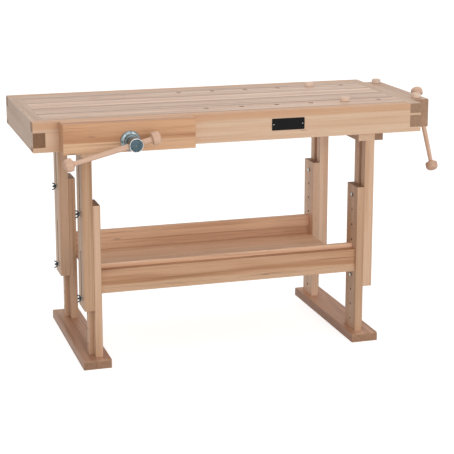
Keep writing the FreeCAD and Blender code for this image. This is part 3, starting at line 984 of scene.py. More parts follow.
    def mark_painted_highlight(self, mesh: bmesh.types.BMesh,
                   wanted: Callable[[float, float], bool]) -> None:
        """Marks faces of a turned piece as bright edges, for a painted highlight.

        Args:
            mesh: The turned mesh.
            wanted: Says from a face's place along the axis and its radius.
        """
        place = mesh.verts.layers.float_vector["grain"]
        mark = mesh.faces.layers.float.new("arris")
        for face in mesh.faces:
            spots = [vert[place] for vert in face.verts]
            middle = sum(spots, Vector()) / len(spots)
            face[mark] = 1.0 if wanted(middle.x, middle.y) else 0.0

    def skinned(self, mesh: bmesh.types.BMesh,
                rings: Sequence[Sequence[bmesh.types.BMVert]]) -> None:
        """Makes a closed body from rings of points.

        Args:
            mesh: The mesh that holds the points.
            rings: Rings of as many points each, in order; the first and last are filled.
        """
        for first, second in zip(rings, rings[1:]):
            for k in range(len(first)):
                n = (k + 1) % len(first)
                mesh.faces.new((first[k], first[n], second[n], second[k]))
        mesh.faces.new(rings[0])
        mesh.faces.new(rings[-1])
        bmesh.ops.recalc_face_normals(mesh, faces=mesh.faces)

    def parts(self, mesh: bmesh.types.BMesh) -> list[list[bmesh.types.BMVert]]:
        """The separate parts of a mesh.

        Args:
            mesh: The mesh.

        Returns:
            A list of vertices for each part.
        """
        seen: set[int] = set()
        parts = []
        mesh.verts.index_update()
        for start in mesh.verts:
            if start.index in seen:
                continue
            seen.add(start.index)
            part, queue = [], [start]
            while queue:
                vert = queue.pop()
                part.append(vert)
                for edge in vert.link_edges:
                    other = edge.other_vert(vert)
                    if other.index not in seen:
                        seen.add(other.index)
                        queue.append(other)
            parts.append(part)
        return parts

    def grained(self, mesh: bmesh.types.BMesh, fibre: Vector, seed: str,
                repeat: float = 1.0) -> None:
        """Marks where each point lies in its board and how far faces look along it.

        Args:
            mesh: The mesh to mark.
            fibre: Direction of the fibres.
            seed: Word that picks the boards' places in the wood.
            repeat: The place across the fibres moves by whole steps of this length.
        """
        fibre = fibre.normalized()
        helper = Axis.UP if abs(fibre.z) < 0.7 else Axis.ALONG
        across = helper.value.cross(fibre).normalized()
        deep = fibre.cross(across)
        place = (mesh.verts.layers.float_vector.get("grain")
                 or mesh.verts.layers.float_vector.new("grain"))
        tone = mesh.verts.layers.float.new("tone")
        below = mesh.verts.layers.float.new("below")
        end = mesh.faces.layers.float.new("end")
        chance = random.Random(seed)
        for part in self.parts(mesh):
            low = min(v.co.dot(across) for v in part)
            top = max(v.co.z for v in part)
            shift = (chance.uniform(0, LOG_LONG), repeat * chance.randrange(2, 9),
                     chance.uniform(-LOG_DEEP, LOG_DEEP))
            level = chance.random()
            for vert in part:
                spot = vert.co
                vert[place] = (spot.dot(fibre) / MM + shift[0],
                               (spot.dot(across) - low) / MM + shift[1],
                               spot.dot(deep) / MM % LOG_WRAP + shift[2])
                vert[tone] = level
                vert[below] = (top - vert.co.z) / MM
        mesh.normal_update()
        for face in mesh.faces:
            face[end] = abs(face.normal.dot(fibre))

    def placed(self, mesh: bmesh.types.BMesh) -> None:
        """Marks a piece of metal that wasn't turned with its place in millimetres."""
        place = mesh.verts.layers.float_vector.new("grain")
        for vert in mesh.verts:
            vert[place] = vert.co / MM

    def piece(self, name: str, mesh: bmesh.types.BMesh, finish: Look, body: str, slot: str,
              stands_for: Sequence[str], crease: float = 35.0) -> None:
        """Makes an object, dresses it and sets it on its body.

        Args:
            name: The piece's name.
            mesh: Its mesh, in the bench's frame; it is used up.
            finish: Its wood, steel or lacquer.
            body: The body it rides on.
            slot: Not used.
            stands_for: Solids it stands for.
            crease: Edges sharper than this angle stay crisp, in degrees.
        """
        data = bpy.data.meshes.new(name)
        mesh.to_mesh(data)
        mesh.free()
        data.shade_smooth()
        data.set_sharp_from_angle(angle=math.radians(crease))
        data.materials.append(finish.value.material())
        made = bpy.data.objects.new(name, data)
        bpy.context.scene.collection.objects.link(made)
        weigh = made.modifiers.new("even_shading", "WEIGHTED_NORMAL")
        weigh.keep_sharp = True
        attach(made, body)
        if stands_for:
            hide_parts(*stands_for)
        log.info("%s: %d faces on %s", name, len(data.polygons), body)

    def board(self, node: str, finish: Beech, fibre: Axis, body: str, slot: str,
              width: float) -> None:
        """Dresses one wooden solid, or a group of them, with eased edges.

        Args:
            node: The solid's name.
            finish: Its beech.
            fibre: Direction of its fibres.
            body: The body it rides on.
            slot: Name of a material slot, handed on to piece.
            width: Width of the easing in millimetres.
        """
        mesh = self.eased(node, width)
        self.grained(mesh, fibre.value, node, finish.value.repeat_mm)
        self.piece(f"{node}_wood", mesh, finish, body, slot, [node])

    def joined(self, meshes: Sequence[bmesh.types.BMesh]) -> bmesh.types.BMesh:
        """Puts several meshes into one.

        Args:
            meshes: The meshes, which are used up.

        Returns:
            The one that holds them all.
        """
        whole = bmesh.new()
        for mesh in meshes:
            data = bpy.data.meshes.new("part")
            mesh.to_mesh(data)
            mesh.free()
            whole.from_mesh(data)
            bpy.data.meshes.remove(data)
        return whole

    def cut(self, mesh: bmesh.types.BMesh, tool: bmesh.types.BMesh) -> bmesh.types.BMesh:
        """Takes one closed mesh out of another; both are used up.

        Args:
            mesh: What is cut.
            tool: What is taken out.

        Returns:
            The rest.
        """
        objects = []
        for source in (mesh, tool):
            data = bpy.data.meshes.new("blank")
            source.to_mesh(data)
            source.free()
            made = bpy.data.objects.new("blank", data)
            bpy.context.scene.collection.objects.link(made)
            objects.append(made)
        change = objects[0].modifiers.new("cut", "BOOLEAN")
        change.operation = "DIFFERENCE"
        change.solver = "EXACT"
        change.object = objects[1]
        bpy.context.view_layer.update()
        rest = objects[0].evaluated_get(bpy.context.evaluated_depsgraph_get())
        result = bmesh.new()
        result.from_mesh(rest.to_mesh())
        rest.to_mesh_clear()
        for made in objects:
            data = made.data
            bpy.data.objects.remove(made)
            bpy.data.meshes.remove(data)
        return result


# ---------------------------------------------------------------- sub-assemblies
CORNERS = ("left_front", "left_back", "right_front", "right_back")


@dataclass
class Worktop:
    """Planks between two aprons and two finger-jointed end caps."""

    maker: Maker
    planks: int = 5
    gap_ease: float = 0.9
    rim_ease: float = 1.2

    def build(self) -> None:
        """Makes the planks, aprons and caps."""
        for number in range(1, self.planks + 1):
            self.maker.board(f"worktop_plank_{number}", Beech.TOP, Axis.ALONG, "table",
                             "beech_top", self.gap_ease)
        for side in ("front", "back"):
            self.maker.board(f"{side}_apron", Beech.APRON, Axis.ALONG, "table",
                             "beech_apron", self.rim_ease)
        for side, wood in (("left", Beech.CAP_LEFT), ("right", Beech.CAP_RIGHT)):
            self.maker.board(f"{side}_cap", wood, Axis.ACROSS, "table", "beech_apron",
                             self.rim_ease)


@dataclass
class NamePlate:
    """A bare lacquered plate with a raised rim, held by two small pins."""

    maker: Maker
    corner: float = 3.0
    corner_steps: int = 5
    rim: float = 2.2
    sink: float = 0.35                  # from the rim down to the field
    ease: float = 0.25
    pin_radius: float = 1.6
    pin_inset: float = 7.0

    def build(self) -> None:
        """Makes the plate and its pins."""
        low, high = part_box("name_plate")
        mesh = bmesh.new()
        wide = (high.x - low.x) / MM
        tall = (high.z - low.z) / MM
        thick = (high.y - low.y) / MM
        frame = Matrix.Translation((low.x, high.y, low.z)) @ Matrix.Scale(MM, 4)
        rim, ease = self.rim, self.ease
        outline = self._outline(wide, tall, 0.0, self.corner)
        eased = self._outline(wide, tall, ease, self.corner - ease)
        inner = self._outline(wide, tall, rim, self.corner * 0.6)
        floor = self._outline(wide, tall, rim + ease, self.corner * 0.5)
        levels = [(outline, 0.0), (outline, ease - thick), (eased, -thick),
                  (inner, -thick), (floor, self.sink - thick)]
        self.maker.skinned(mesh, [[mesh.verts.new(frame @ Vector((x, y, z)))
                                   for x, z in ring] for ring, y in levels])
        mark = mesh.faces.layers.float.new("arris")
        count = len(outline)
        mesh.faces.ensure_lookup_table()
        for face in mesh.faces[count:2 * count]:    # the band round the eased edge
            face[mark] = 1.0
        self.maker.placed(mesh)
        self.maker.piece("name_plate_lacquer", mesh, Lacquer.BLACK, "table", "black_plate",
                         ["name_plate"], 30.0)
        self._pins(low, high)

    def _outline(self, wide: float, tall: float, inset: float,
                 radius: float) -> list[tuple[float, float]]:
        """A rectangle with round corners.

        Args:
            wide: Width of the plate.
            tall: Height of the plate.
            inset: How far the rectangle lies inside the plate's edge.
            radius: Radius of the corners.

        Returns:
            Its points in order.
        """
        points = []
        near, right, top = inset + radius, wide - inset - radius, tall - inset - radius
        corners = [(right, top, 0), (near, top, 90), (near, near, 180), (right, near, 270)]
        for x, z, start in corners:
            for k in range(self.corner_steps + 1):
                angle = math.radians(start + 90 / self.corner_steps * k)
                points.append((x + radius * math.cos(angle), z + radius * math.sin(angle)))
        return points

    def _pins(self, low: Vector, high: Vector) -> None:
        """Makes the two pins.

        Args:
            low: Lowest corner of the plate.
            high: Highest corner of the plate.
        """
        r = self.pin_radius
        profile = [(-0.3, 0.0), (-0.3, r), (0.0, r), (0.25, r * 0.8), (0.33, 0.0)]
        heads = []
        for x in (low.x + self.pin_inset * MM, high.x - self.pin_inset * MM):
            at = Vector((x, low.y + self.sink * MM, (low.z + high.z) / 2))
            heads.append(self.maker.turned(profile, aimed(at, -Axis.ACROSS.value), 20))
        self.maker.piece("name_plate_pins", self.maker.joined(heads), Steel.FASTENER,
                         "table", "zinc_steel", [])


@dataclass
class Legs:
    """Grooved upper posts that slide on the lower posts' strips, and the feet."""

    maker: Maker
    ease: float = 0.7
    strip_ease: float = 0.4
    foot_ease: float = 1.0
    # posts in a lighter copy of the post beech, painted light
    pale: tuple[str, ...] = ("upper_post_right_back", "lower_post_right_back")
    deep: tuple[str, ...] = ("upper_post_left_front",)      # painted shade: a darker copy of the post beech

    def build(self) -> None:
        """Makes posts, strips, feet, bearers and the block of the end vise."""
        for corner in CORNERS:
            for kind, body in (("upper", "table"), ("lower", "base")):
                node = f"{kind}_post_{corner}"
                self.maker.board(node, self._wood(node), Axis.UP, body, "beech_frame",
                                 self.ease)
        self.maker.board("guide_strips", Beech.POST, Axis.UP, "base", "beech_frame",
                         self.strip_ease)
        for side in ("left", "right"):
            self.maker.board(f"{side}_foot", Beech.FOOT, Axis.ACROSS, "base", "beech_frame",
                             self.foot_ease)
            self.maker.board(f"{side}_bearer", Beech.BEARER, Axis.ACROSS, "table",
                             "beech_frame", self.ease)
        self.maker.board("end_vise_block", Beech.POST, Axis.ACROSS, "table", "beech_frame",
                         self.ease)

    def _wood(self, node: str) -> Beech:
        """The beech of a post, with a lighter copy painted light and a darker one painted
        shade.
        """
        if node in self.pale:
            return Beech.POST_PALE
        return Beech.POST_DEEP if node in self.deep else Beech.POST


@dataclass
class Shelf:
    """Rails between the legs and the tray that they carry."""

    maker: Maker
    ease: float = 0.8
    boards: int = 3

    def build(self) -> None:
        """Makes rails, walls, floor boards and battens."""
        for side in ("front", "back"):
            self.maker.board(f"shelf_rail_{side}", Beech.RAIL, Axis.ALONG, "base",
                             "beech_frame", self.ease)
            self.maker.board(f"tray_wall_{side}", Beech.WALL, Axis.ALONG, "base",
                             "beech_frame", self.ease)
        low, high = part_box("shelf_boards")
        wide = (high.y - low.y) / self.boards
        for number in range(self.boards):
            front = low.y + wide * number
            mesh = self.maker.eased("shelf_boards", self.ease,
                                    lambda spot, y=front: y < spot.y < y + wide)
            self.maker.grained(mesh, Axis.ALONG.value, f"shelf_board_{number}",
                               Beech.SHELF.value.repeat_mm)
            self.maker.piece(f"shelf_board_{number + 1}_wood", mesh, Beech.SHELF, "base",
                             "beech_frame", ["shelf_boards"])
        self.maker.board("shelf_battens", Beech.WALL, Axis.ACROSS, "base", "beech_frame",
                         self.ease)


@dataclass
class HeightBolts:
    """Carriage bolts with washers and wing nuts that set the height."""

    maker: Maker
    head_radius: float = 7.5
    head_tall: float = 5.0
    shade_ring: float = 0.3                  # how far the dark ring of painted shade at the head stands out of its dome
    shank_radius: float = 4.0
    root_radius: float = 3.35
    pitch: float = 1.25
    thread_long: float = 24.0
    washer_radius: float = 10.0
    washer_thick: float = 1.6
    nut_radius: float = 7.0
    nut_tall: float = 9.0
    wing_reach: float = 16.0
    wing_top: float = 17.0
    wing_thick: float = 2.6
    wing_edge: float = 0.975            # size of the wing's flat faces, as a share
    levels: tuple[str, ...] = ("upper", "lower")

    def build(self) -> None:
        """Makes every bolt, washer and wing nut."""
        low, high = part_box("height_bolts")
        bolts, threads, shade_rings = [], [], []
        for corner in CORNERS:
            for level in self.levels:
                node = f"wing_nut_{corner}_{level}"
                nut_low, nut_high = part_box(node)
                out = Vector((-1.0 if corner.startswith("left") else 1.0, 0, 0))
                seat_x = nut_high.x if out.x < 0 else nut_low.x
                seat = Vector((seat_x, (nut_low.y + nut_high.y) / 2,
                               (nut_low.z + nut_high.z) / 2))
                tip = abs((low.x if out.x < 0 else high.x) - seat_x) / MM
                post_low, post_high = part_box(f"lower_post_{corner}")
                inner_x = post_high.x if out.x < 0 else post_low.x
                reach = abs(inner_x - seat_x) / MM
                bolt, thread = self._bolt(seat, out, tip, reach)
                bolts += [bolt, self._washer(seat, out)]
                threads.append(thread)
                shade_rings.append(self._shade_ring(seat - out * (reach * MM), out))
                self._wing_nut(node, seat, out)
        # the dark rings round the heads are painted shade
        for name, meshes, finish in (("steel", bolts, Steel.FASTENER),
                                     ("threads", threads, Steel.BLACKENED),
                                     ("shade_rings", shade_rings, Steel.BLACKENED)):
            self.maker.piece(f"height_bolts_{name}", self.maker.joined(meshes), finish,
                             "base", "zinc_steel", ["height_bolts"])

    def _bolt(self, seat: Vector, out: Vector, tip: float,
              reach: float) -> tuple[bmesh.types.BMesh, bmesh.types.BMesh]:
        """One bolt with a domed head.

        Args:
            seat: Where the wing nut sits, in metres.
            out: Direction from the head to the nut.
            tip: Length past the seat.
            reach: Length from the head's underside to the seat.

        Returns:
            The head with its shank, and the thread.
        """
        start = seat - out * (reach * MM)
        r, h = self.head_radius - self.shade_ring, self.head_tall
        dome = [(-h, 0.0), (-h * 0.99, r * 0.35), (-h * 0.94, r * 0.72), (-h * 0.8, r * 0.93),
                (-h * 0.72, r), (0.0, r)]
        plain = reach + tip - self.thread_long
        shank = [(0.0, self.shank_radius), (plain, self.shank_radius),
                 (plain + 0.6, self.root_radius), (plain + 3.0, self.root_radius * 0.98),
                 (plain + 3.0, 0.0)]
        body = self.maker.turned(dome + shank, aimed(start, out), 32)
        thread = self.maker.threaded(self.shank_radius, self.root_radius, self.pitch,
                                     self.thread_long, aimed(start + out * (plain * MM), out),
                                     20)
        return body, thread

    def _shade_ring(self, seat: Vector, out: Vector) -> bmesh.types.BMesh:
        """The dark upright rim of a bolt's head, painted shade round its base.

        Args:
            seat: Middle of the head's underside.
            out: Direction from the head to the nut.

        Returns:
            The ring.
        """
        r, top = self.head_radius, -self.head_tall * 0.7
        corners = [(0.0, r - 2 * self.shade_ring), (0.0, r), (top, r), (top, r - 2 * self.shade_ring),
                   (0.0, r - 2 * self.shade_ring)]
        return self.maker.turned(rounded(corners, 0.3, 2), aimed(seat, out), 40)

    def _washer(self, seat: Vector, out: Vector) -> bmesh.types.BMesh:
        """A washer under the seat of a wing nut.

        Args:
            seat: Where the wing nut sits.
            out: Direction towards the nut.

        Returns:
            The ring.
        """
        inner, outer, thick = self.shank_radius + 0.2, self.washer_radius, self.washer_thick
        corners = [(-thick, inner), (-thick, outer), (0.0, outer), (0.0, inner),
                   (-thick, inner)]
        return self.maker.turned(rounded(corners, 0.35, 2), aimed(seat, out), 40)

    def _wing_nut(self, node: str, seat: Vector, out: Vector) -> None:
        """A cast wing nut, bored and with a base flange.

        Args:
            node: The solid it stands for.
            seat: Where it sits.
            out: Direction away from the post.
        """
        frame = framed(seat, out, Axis.UP.value)
        r, t, bore = self.nut_radius, self.nut_tall, self.shank_radius + 0.15
        shell = [(0.0, bore), (0.0, r), (1.2, r), (2.2, r * 0.86), (t - 1.0, r * 0.78),
                 (t, r * 0.68), (t, bore), (0.0, bore)]
        body = self.maker.turned(rounded(shell, 0.5, 2), frame, 32)
        wings = [self._wing(side, frame, bore) for side in (-1, 1)]
        mesh = self.maker.joined([body] + wings)
        self.maker.piece(f"{node}_cast", mesh, Steel.BLACKENED, node, "zinc_steel", [node],
                         50.0)

    def _wing(self, side: int, frame: Matrix, bore: float) -> bmesh.types.BMesh:
        """One curved wing.

        Args:
            side: 1 or -1, which side of the nut.
            frame: The nut's frame.
            bore: Radius that stays free for the bolt.

        Returns:
            The wing.
        """
        t, top, reach = self.nut_tall, self.wing_top, self.wing_reach
        inner = bore + 0.8
        outline = [(inner, t * 0.1), (self.nut_radius * 0.98, t * 0.1),
                   (reach * 0.72, t * 0.5), (reach * 0.90, t * 1.1), (reach, top * 0.9),
                   (reach * 0.97, top * 0.98), (reach * 0.88, top), (reach * 0.79, top * 0.95),
                   (reach * 0.60, t * 1.2), (reach * 0.44, t * 0.86), (inner, t * 0.75)]
        mesh = bmesh.new()
        half, edge = self.wing_thick / 2, self.wing_edge
        middle = Vector((reach * 0.72, t * 0.95))
        flat = [Vector(point) for point in rounded(outline + outline[:1], 1.4, 3)[:-1]]
        rings = []
        for lift, grow in ((-half, edge), (-half * 0.6, 1.0), (half * 0.6, 1.0), (half, edge)):
            grown = [middle + (point - middle) * grow for point in flat]
            rings.append([mesh.verts.new(frame @ Vector((side * point.x, lift, point.y)))
                          for point in grown])
        self.maker.skinned(mesh, rings)
        self.maker.placed(mesh)
        return mesh


@dataclass
class WoodScrews:
    """Countersunk cross-head screws that hold the planks and the rails."""

    maker: Maker
    head_radius: float = 7.0
    shank_radius: float = 3.5
    root_share: float = 0.62            # root of the thread, as a share of the shank
    pitch: float = 3.4
    recess: float = 2.4                 # depth of the cross in the head
    recess_wide: float = 1.3

    def build(self) -> None:
        """Makes both sets of screws."""
        for node, body in (("top_screws", "table"), ("rail_screws", "base")):
            heads = []
            for low, high in self._boxes(node):
                heads += self._screw(low, high)
            self.maker.piece(f"{node}_steel", self.maker.joined(heads), Steel.FASTENER, body,
                             "zinc_steel", [node])

    def _boxes(self, node: str) -> list[tuple[Vector, Vector]]:
        """Corners of each screw of a group.

        Args:
            node: The group's name.

        Returns:
            Lowest and highest corner of each screw.
        """
        mesh = bmesh.new()
        mesh.from_mesh(self.maker.nodes[node].data)
        bmesh.ops.remove_doubles(mesh, verts=mesh.verts, dist=WELD)
        boxes = []
        for part in self.maker.parts(mesh):
            spots = [v.co.copy() for v in part]
            boxes.append((Vector([min(s[k] for s in spots) for k in range(3)]),
                          Vector([max(s[k] for s in spots) for k in range(3)])))
        mesh.free()
        return boxes

    def _screw(self, low: Vector, high: Vector) -> list[bmesh.types.BMesh]:
        """One screw.

        Args:
            low: Lowest corner of its solid.
            high: Highest corner of its solid.

        Returns:
            The shank with its crossed head, and the thread.
        """
        size = high - low
        middle = (low + high) / 2
        if size.z > size.x:
            way, start = Axis.UP.value, Vector((middle.x, middle.y, low.z))
        elif middle.x < 0:
            way, start = Axis.ALONG.value, Vector((low.x, middle.y, middle.z))
        else:
            way, start = -Axis.ALONG.value, Vector((high.x, middle.y, middle.z))
        long = max(size) / MM
        r, s = self.head_radius, self.shank_radius
        root = s * self.root_share
        profile = [(0.0, 0.0), (0.0, r - 0.3), (0.25, r), (s, s * 0.8),
                   (long * 0.35, s * 0.8), (long - 8.0, root), (long - 0.5, 0.4),
                   (long - 0.5, 0.0)]
        body = self.maker.turned(profile, aimed(start, way), 28)
        for turn in (0.0, 90.0):
            slot = bmesh.new()
            bmesh.ops.create_cube(slot, size=1.0)
            frame = aimed(start, way) @ Matrix.Rotation(math.radians(turn), 4, "Z")
            stretch = Matrix.Diagonal((r * 1.1, self.recess_wide, self.recess * 2, 1.0))
            bmesh.ops.transform(slot, matrix=frame @ stretch, verts=slot.verts)
            body = self.maker.cut(body, slot)
        thread = self.maker.threaded(s, root, self.pitch, long * 0.6,
                                     aimed(start + way * (long * 0.36 * MM), way), 14)
        return [body, thread]


@dataclass
class Vise:
    """Jaw of two boards with its flange, spindle, guide rods and tommy bar.

    Its own frame has X along the jaw, Y into the bench and Z up, with the origin on the
    jaw's outer face, on the screw axis. The bar leans by tilt degrees and its near knob
    is the length near away from the screw axis.
    """

    maker: Maker
    name: str
    sideways: Vector
    inward: Vector
    tilt: float
    near: float
    upper_wood: Beech
    lower_wood: Beech
    knob_span: float = 325.0            # between the middles of the knobs
    lower_board: float = 40.0           # height of the jaw's lower board
    wood_ease: float = 0.8
    reach: float = 75.0                 # from the jaw to the bar
    hub_radius: float = 25.0
    hub_long: float = 45.0
    neck_radius: float = 17.0
    neck_start: float = 22.5            # outwards from the jaw's face
    rim_wide: float = 1.6
    rim_deep: float = 1.2
    bar_hole_spare: float = 0.08
    screw_radius: float = 12.0
    screw_root: float = 9.6
    screw_pitch: float = 6.0
    screw_end: float = 280.0            # inwards from the jaw's face
    journal_end: float = 18.0           # where the thread starts
    flange_radius: float = 37.0
    flange_thick: float = 8.0
    flange_screw_inset: float = 5.6
    boss_radius: float = 26.0
    boss_long: float = 14.0
    bar_radius: float = 10.0
    bar_tip: float = 8.4                # its radius at a knob
    knob_radius: float = 24.0
    knob_long: float = 33.0
    knob_dome: float = 16.0
    line_deep: float = 0.9
    collar_radius: float = 13.0
    collar_long: float = 4.0
    rod_radius: float = 10.0
    rod_spread: float = 70.0
    rod_start: float = 20.0
    frame: Matrix = field(init=False)

    def __post_init__(self) -> None:
        """Finds the vise's own frame from its flange."""
        low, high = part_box(f"{self.name}_vise_flange")
        half = (high - low).dot(Vector([abs(c) for c in self.inward])) / 2
        seat = (low + high) / 2 + self.inward * half
        self.frame = Matrix.Identity(4)
        for column, axis in enumerate((self.sideways, self.inward, Axis.UP.value)):
            for row in range(3):
                self.frame[row][column] = axis[row] * MM
        self.frame.translation = seat

    def build(self) -> None:
        """Makes every piece of the vise."""
        self._jaw()
        self._flange()
        self._rods()
        self._nut_plate()
        self._hub()
        self._screw()
        self._bar()

    def _at(self, x: float, y: float, z: float) -> Vector:
        """A point of the vise's frame, in the bench's frame."""
        return self.frame @ Vector((x, y, z))

    def _way(self, x: float, y: float, z: float) -> Vector:
        """A direction of the vise's frame, in the bench's frame."""
        return (self.frame.to_3x3() @ Vector((x, y, z))).normalized()

    def _outward(self) -> Matrix:
        """A frame on the screw axis whose Z points out of the bench."""
        return aimed(self._at(0, 0, 0), self._way(0, -1, 0))

    def _along_bar(self) -> Vector:
        """Direction from the near knob to the far one."""
        angle = math.radians(self.tilt)
        return self._way(-math.cos(angle), 0, -math.sin(angle))

    def _jaw(self) -> None:
        """Makes the two boards of the jaw."""
        node = f"{self.name}_vise_jaw"
        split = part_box(node)[0].z + self.lower_board * MM
        boards = (("upper", self.upper_wood, lambda spot: spot.z > split),
                  ("lower", self.lower_wood, lambda spot: spot.z < split))
        for part, finish, keep in boards:
            mesh = self.maker.eased(node, self.wood_ease, keep)
            self.maker.grained(mesh, self.sideways, node + part)
            self.maker.piece(f"{node}_{part}", mesh, finish, f"{self.name}_jaw", "beech_jaw",
                             [node])

    def _flange(self) -> None:
        """Makes the flange with its boss, and four countersunk screws in it."""
        node = f"{self.name}_vise_flange"
        r, t = self.flange_radius, self.flange_thick
        bore = self.screw_radius + 1.0
        top = t + self.boss_long
        corners = [(0.0, bore), (0.0, r), (t * 0.55, r), (t, r - 4.0),
                   (t + 0.4, self.boss_radius + 3.0), (t + 2.4, self.boss_radius - 0.6),
                   (top - 1.0, self.boss_radius - 2.4), (top, self.boss_radius - 3.4),
                   (top, bore), (0.0, bore)]
        mesh = self.maker.turned(rounded(corners, 1.6, 4), self._outward(), 72)
        self.maker.piece(f"{node}_turned", mesh, Steel.PLATED, f"{self.name}_jaw",
                         "vise_steel", [node])
        ring = r - self.flange_screw_inset
        profile = [(-2.0, 0.0), (-2.0, 3.4), (0.1, 3.4), (0.5, 3.0), (0.5, 1.6),
                   (-0.8, 0.9), (-0.8, 0.0)]
        heads = []
        for turn in (0, 90, 180, 270):
            angle = math.radians(turn)
            at = self._at(ring * math.sin(angle), -t, ring * math.cos(angle))
            heads.append(self.maker.turned(profile, aimed(at, self._way(0, -1, 0)), 24))
        self.maker.piece(f"{node}_screws", self.maker.joined(heads), Steel.BLACKENED,
                         f"{self.name}_jaw", "zinc_steel", [])

    def _rods(self) -> None:
        """Makes both guide rods, chamfered at their free ends."""
        node = f"{self.name}_vise_guide_rods"
        r, long = self.rod_radius, self.screw_end - self.rod_start
        profile = [(0.0, 0.0), (0.0, r - 1.0), (1.0, r), (long - 1.5, r), (long, r - 1.5),
                   (long, 0.0)]
        starts = [self._at(side * self.rod_spread, self.rod_start, 0) for side in (-1, 1)]
        rods = [self.maker.turned(profile, aimed(start, self._way(0, 1, 0)), 40)
                for start in starts]
        self.maker.piece(f"{node}_drawn", self.maker.joined(rods), Steel.DRAWN,
                         f"{self.name}_jaw", "vise_steel", [node])

    def _nut_plate(self) -> None:
        """Dresses the plate that carries the nut and the sleeves."""
        node = f"{self.name}_vise_nut_plate"
        mesh = self.maker.eased(node, self.wood_ease)
        self.maker.placed(mesh)
        self.maker.piece(f"{node}_cast", mesh, Steel.CAST, "table", "vise_steel", [node])

    def _hub(self) -> None:
        """Makes the hub with its rim marked for a painted highlight, the hole for the bar and
        the sunk disc.
        """
        back, front = self.reach - self.hub_long / 2, self.reach + self.hub_long / 2
        r, neck = self.hub_radius, self.neck_radius
        sunk = r - self.rim_wide
        hub = [(self.neck_start, 0.0), (self.neck_start, neck), (back - 2.0, neck),
               (back - 0.5, neck + 2.0), (back, r - 2.5), (back + 2.5, r), (front - 1.5, r),
               (front, r - 0.9), (front, sunk), (front - self.rim_deep, sunk - 0.3),
               (front - self.rim_deep, 0.0)]
        mesh = self.maker.turned(rounded(hub, 0.9, 3), self._outward(), 72)
        self.maker.mark_painted_highlight(mesh, lambda along, radius: (along > front - 1.6
                                                           and radius > sunk - 1.0))
        bore, half = self.bar_radius + self.bar_hole_spare, self.hub_radius * 2.4
        drill = self.maker.turned([(-half, 0.0), (-half, bore), (half, bore), (half, 0.0)],
                                  aimed(self._at(0, -self.reach, 0), self._along_bar()), 48)
        self.maker.piece(f"{self.name}_vise_hub", self.maker.cut(mesh, drill), Steel.HUB,
                         f"{self.name}_spindle", "spindle_steel",
                         [f"{self.name}_vise_spindle"], 30.0)
        floor, edge = front - self.rim_deep, sunk - 0.6
        disc = [(floor - 1.0, 0.0), (floor - 1.0, edge), (floor + 0.3, edge),
                (floor + 0.5, edge - 0.6), (floor + 0.5, 2.4), (floor - 0.4, 1.2),
                (floor - 0.5, 0.0)]
        self.maker.piece(f"{self.name}_vise_hub_disc",
                         self.maker.turned(disc, self._outward(), 64), Steel.DISC,
                         f"{self.name}_spindle", "spindle_steel", [])

    def _screw(self) -> None:
        """Makes the plain journal and the threaded screw behind it."""
        r, root = self.screw_radius, self.screw_root
        start = -self.neck_start - 2.0
        plain = self.journal_end - start
        journal = [(0.0, 0.0), (0.0, r), (plain - 1.0, r), (plain, root),
                   (plain + 3.0, root * 0.98), (plain + 3.0, 0.0)]
        inward = self._way(0, 1, 0)
        rod = self.maker.turned(journal, aimed(self._at(0, start, 0), inward), 48)
        thread = self.maker.threaded(r, root, self.screw_pitch,
                                     self.screw_end - self.journal_end,
                                     aimed(self._at(0, self.journal_end, 0), inward), 40)
        self.maker.piece(f"{self.name}_vise_screw", self.maker.joined([rod, thread]),
                         Steel.DRAWN, f"{self.name}_spindle", "spindle_steel",
                         [f"{self.name}_vise_spindle"])

    def _bar(self) -> None:
        """Makes the tommy bar and its two knobs."""
        along = self._along_bar()
        near = self._at(0, -self.reach, 0) - along * (self.near * MM)
        far = near + along * (self.knob_span * MM)
        body = f"{self.name}_bar"
        self._stick(near, along, body)
        knobs = []
        for at, way, end in ((near, -along, "near"), (far, along, "far")):
            knob = self.maker.turned(self._knob_profile(), aimed(at, way), 56)
            self.maker.grained(knob, along, f"{self.name}_{end}")
            knobs.append(knob)
        self.maker.piece(f"{self.name}_vise_knobs_turned", self.maker.joined(knobs),
                         Beech.TURNED, body, "beech_turned", [f"{self.name}_vise_knobs"],
                         60.0)

    def _stick(self, near: Vector, along: Vector, body: str) -> None:
        """Makes the bar, which is slimmer towards its knobs.

        Args:
            near: Middle of the near knob.
            along: Direction towards the far knob.
            body: The body it rides on.
        """
        r, tip, span, steps = self.bar_radius, self.bar_tip, self.knob_span, 24
        profile: list[tuple[float, float]] = [(0.0, 0.0)]
        for k in range(steps + 1):
            place = k / steps * span
            from_hub = min(1.0, abs(place - self.near) / (span * 0.72))
            profile.append((place, r - (r - tip) * from_hub ** 1.3))
        profile.append((span, 0.0))
        mesh = self.maker.turned(profile, aimed(near, along), 48)
        self.maker.grained(mesh, along, f"{self.name}_bar")
        self.maker.piece(f"{self.name}_vise_bar_turned", mesh, Beech.TURNED, body,
                         "beech_turned", [f"{self.name}_vise_bar"], 60.0)

    def _knob_profile(self) -> list[tuple[float, float]]:
        """Outline of a knob, from the bar's side to its round end.

        Returns:
            Points of (along, radius).
        """
        half, r, dome = self.knob_long / 2, self.knob_radius, self.knob_dome
        c, cl, line = self.collar_radius, self.collar_long, self.line_deep
        neck = [(-half - cl, 0.0), (-half - cl, c - 0.9), (-half - cl + 1.1, c),
                (-half - 1.2, c), (-half - 0.3, c - 1.3), (-half + 0.2, c + 0.5),
                (-half + 0.2, r - 5.0), (-half + 1.6, r - 1.6), (-half + 5.0, r)]
        lines = []
        for place in (-half + 8.0, half - dome - 1.5):
            lines += [(place - 1.0, r), (place, r - line), (place + 1.0, r)]
        arc = [(half - dome + dome * math.sin(math.radians(turn)),
                r - dome + dome * math.cos(math.radians(turn))) for turn in range(0, 91, 10)]
        return rounded(neck, 2.0, 3) + lines + arc + [(half, 0.0)]


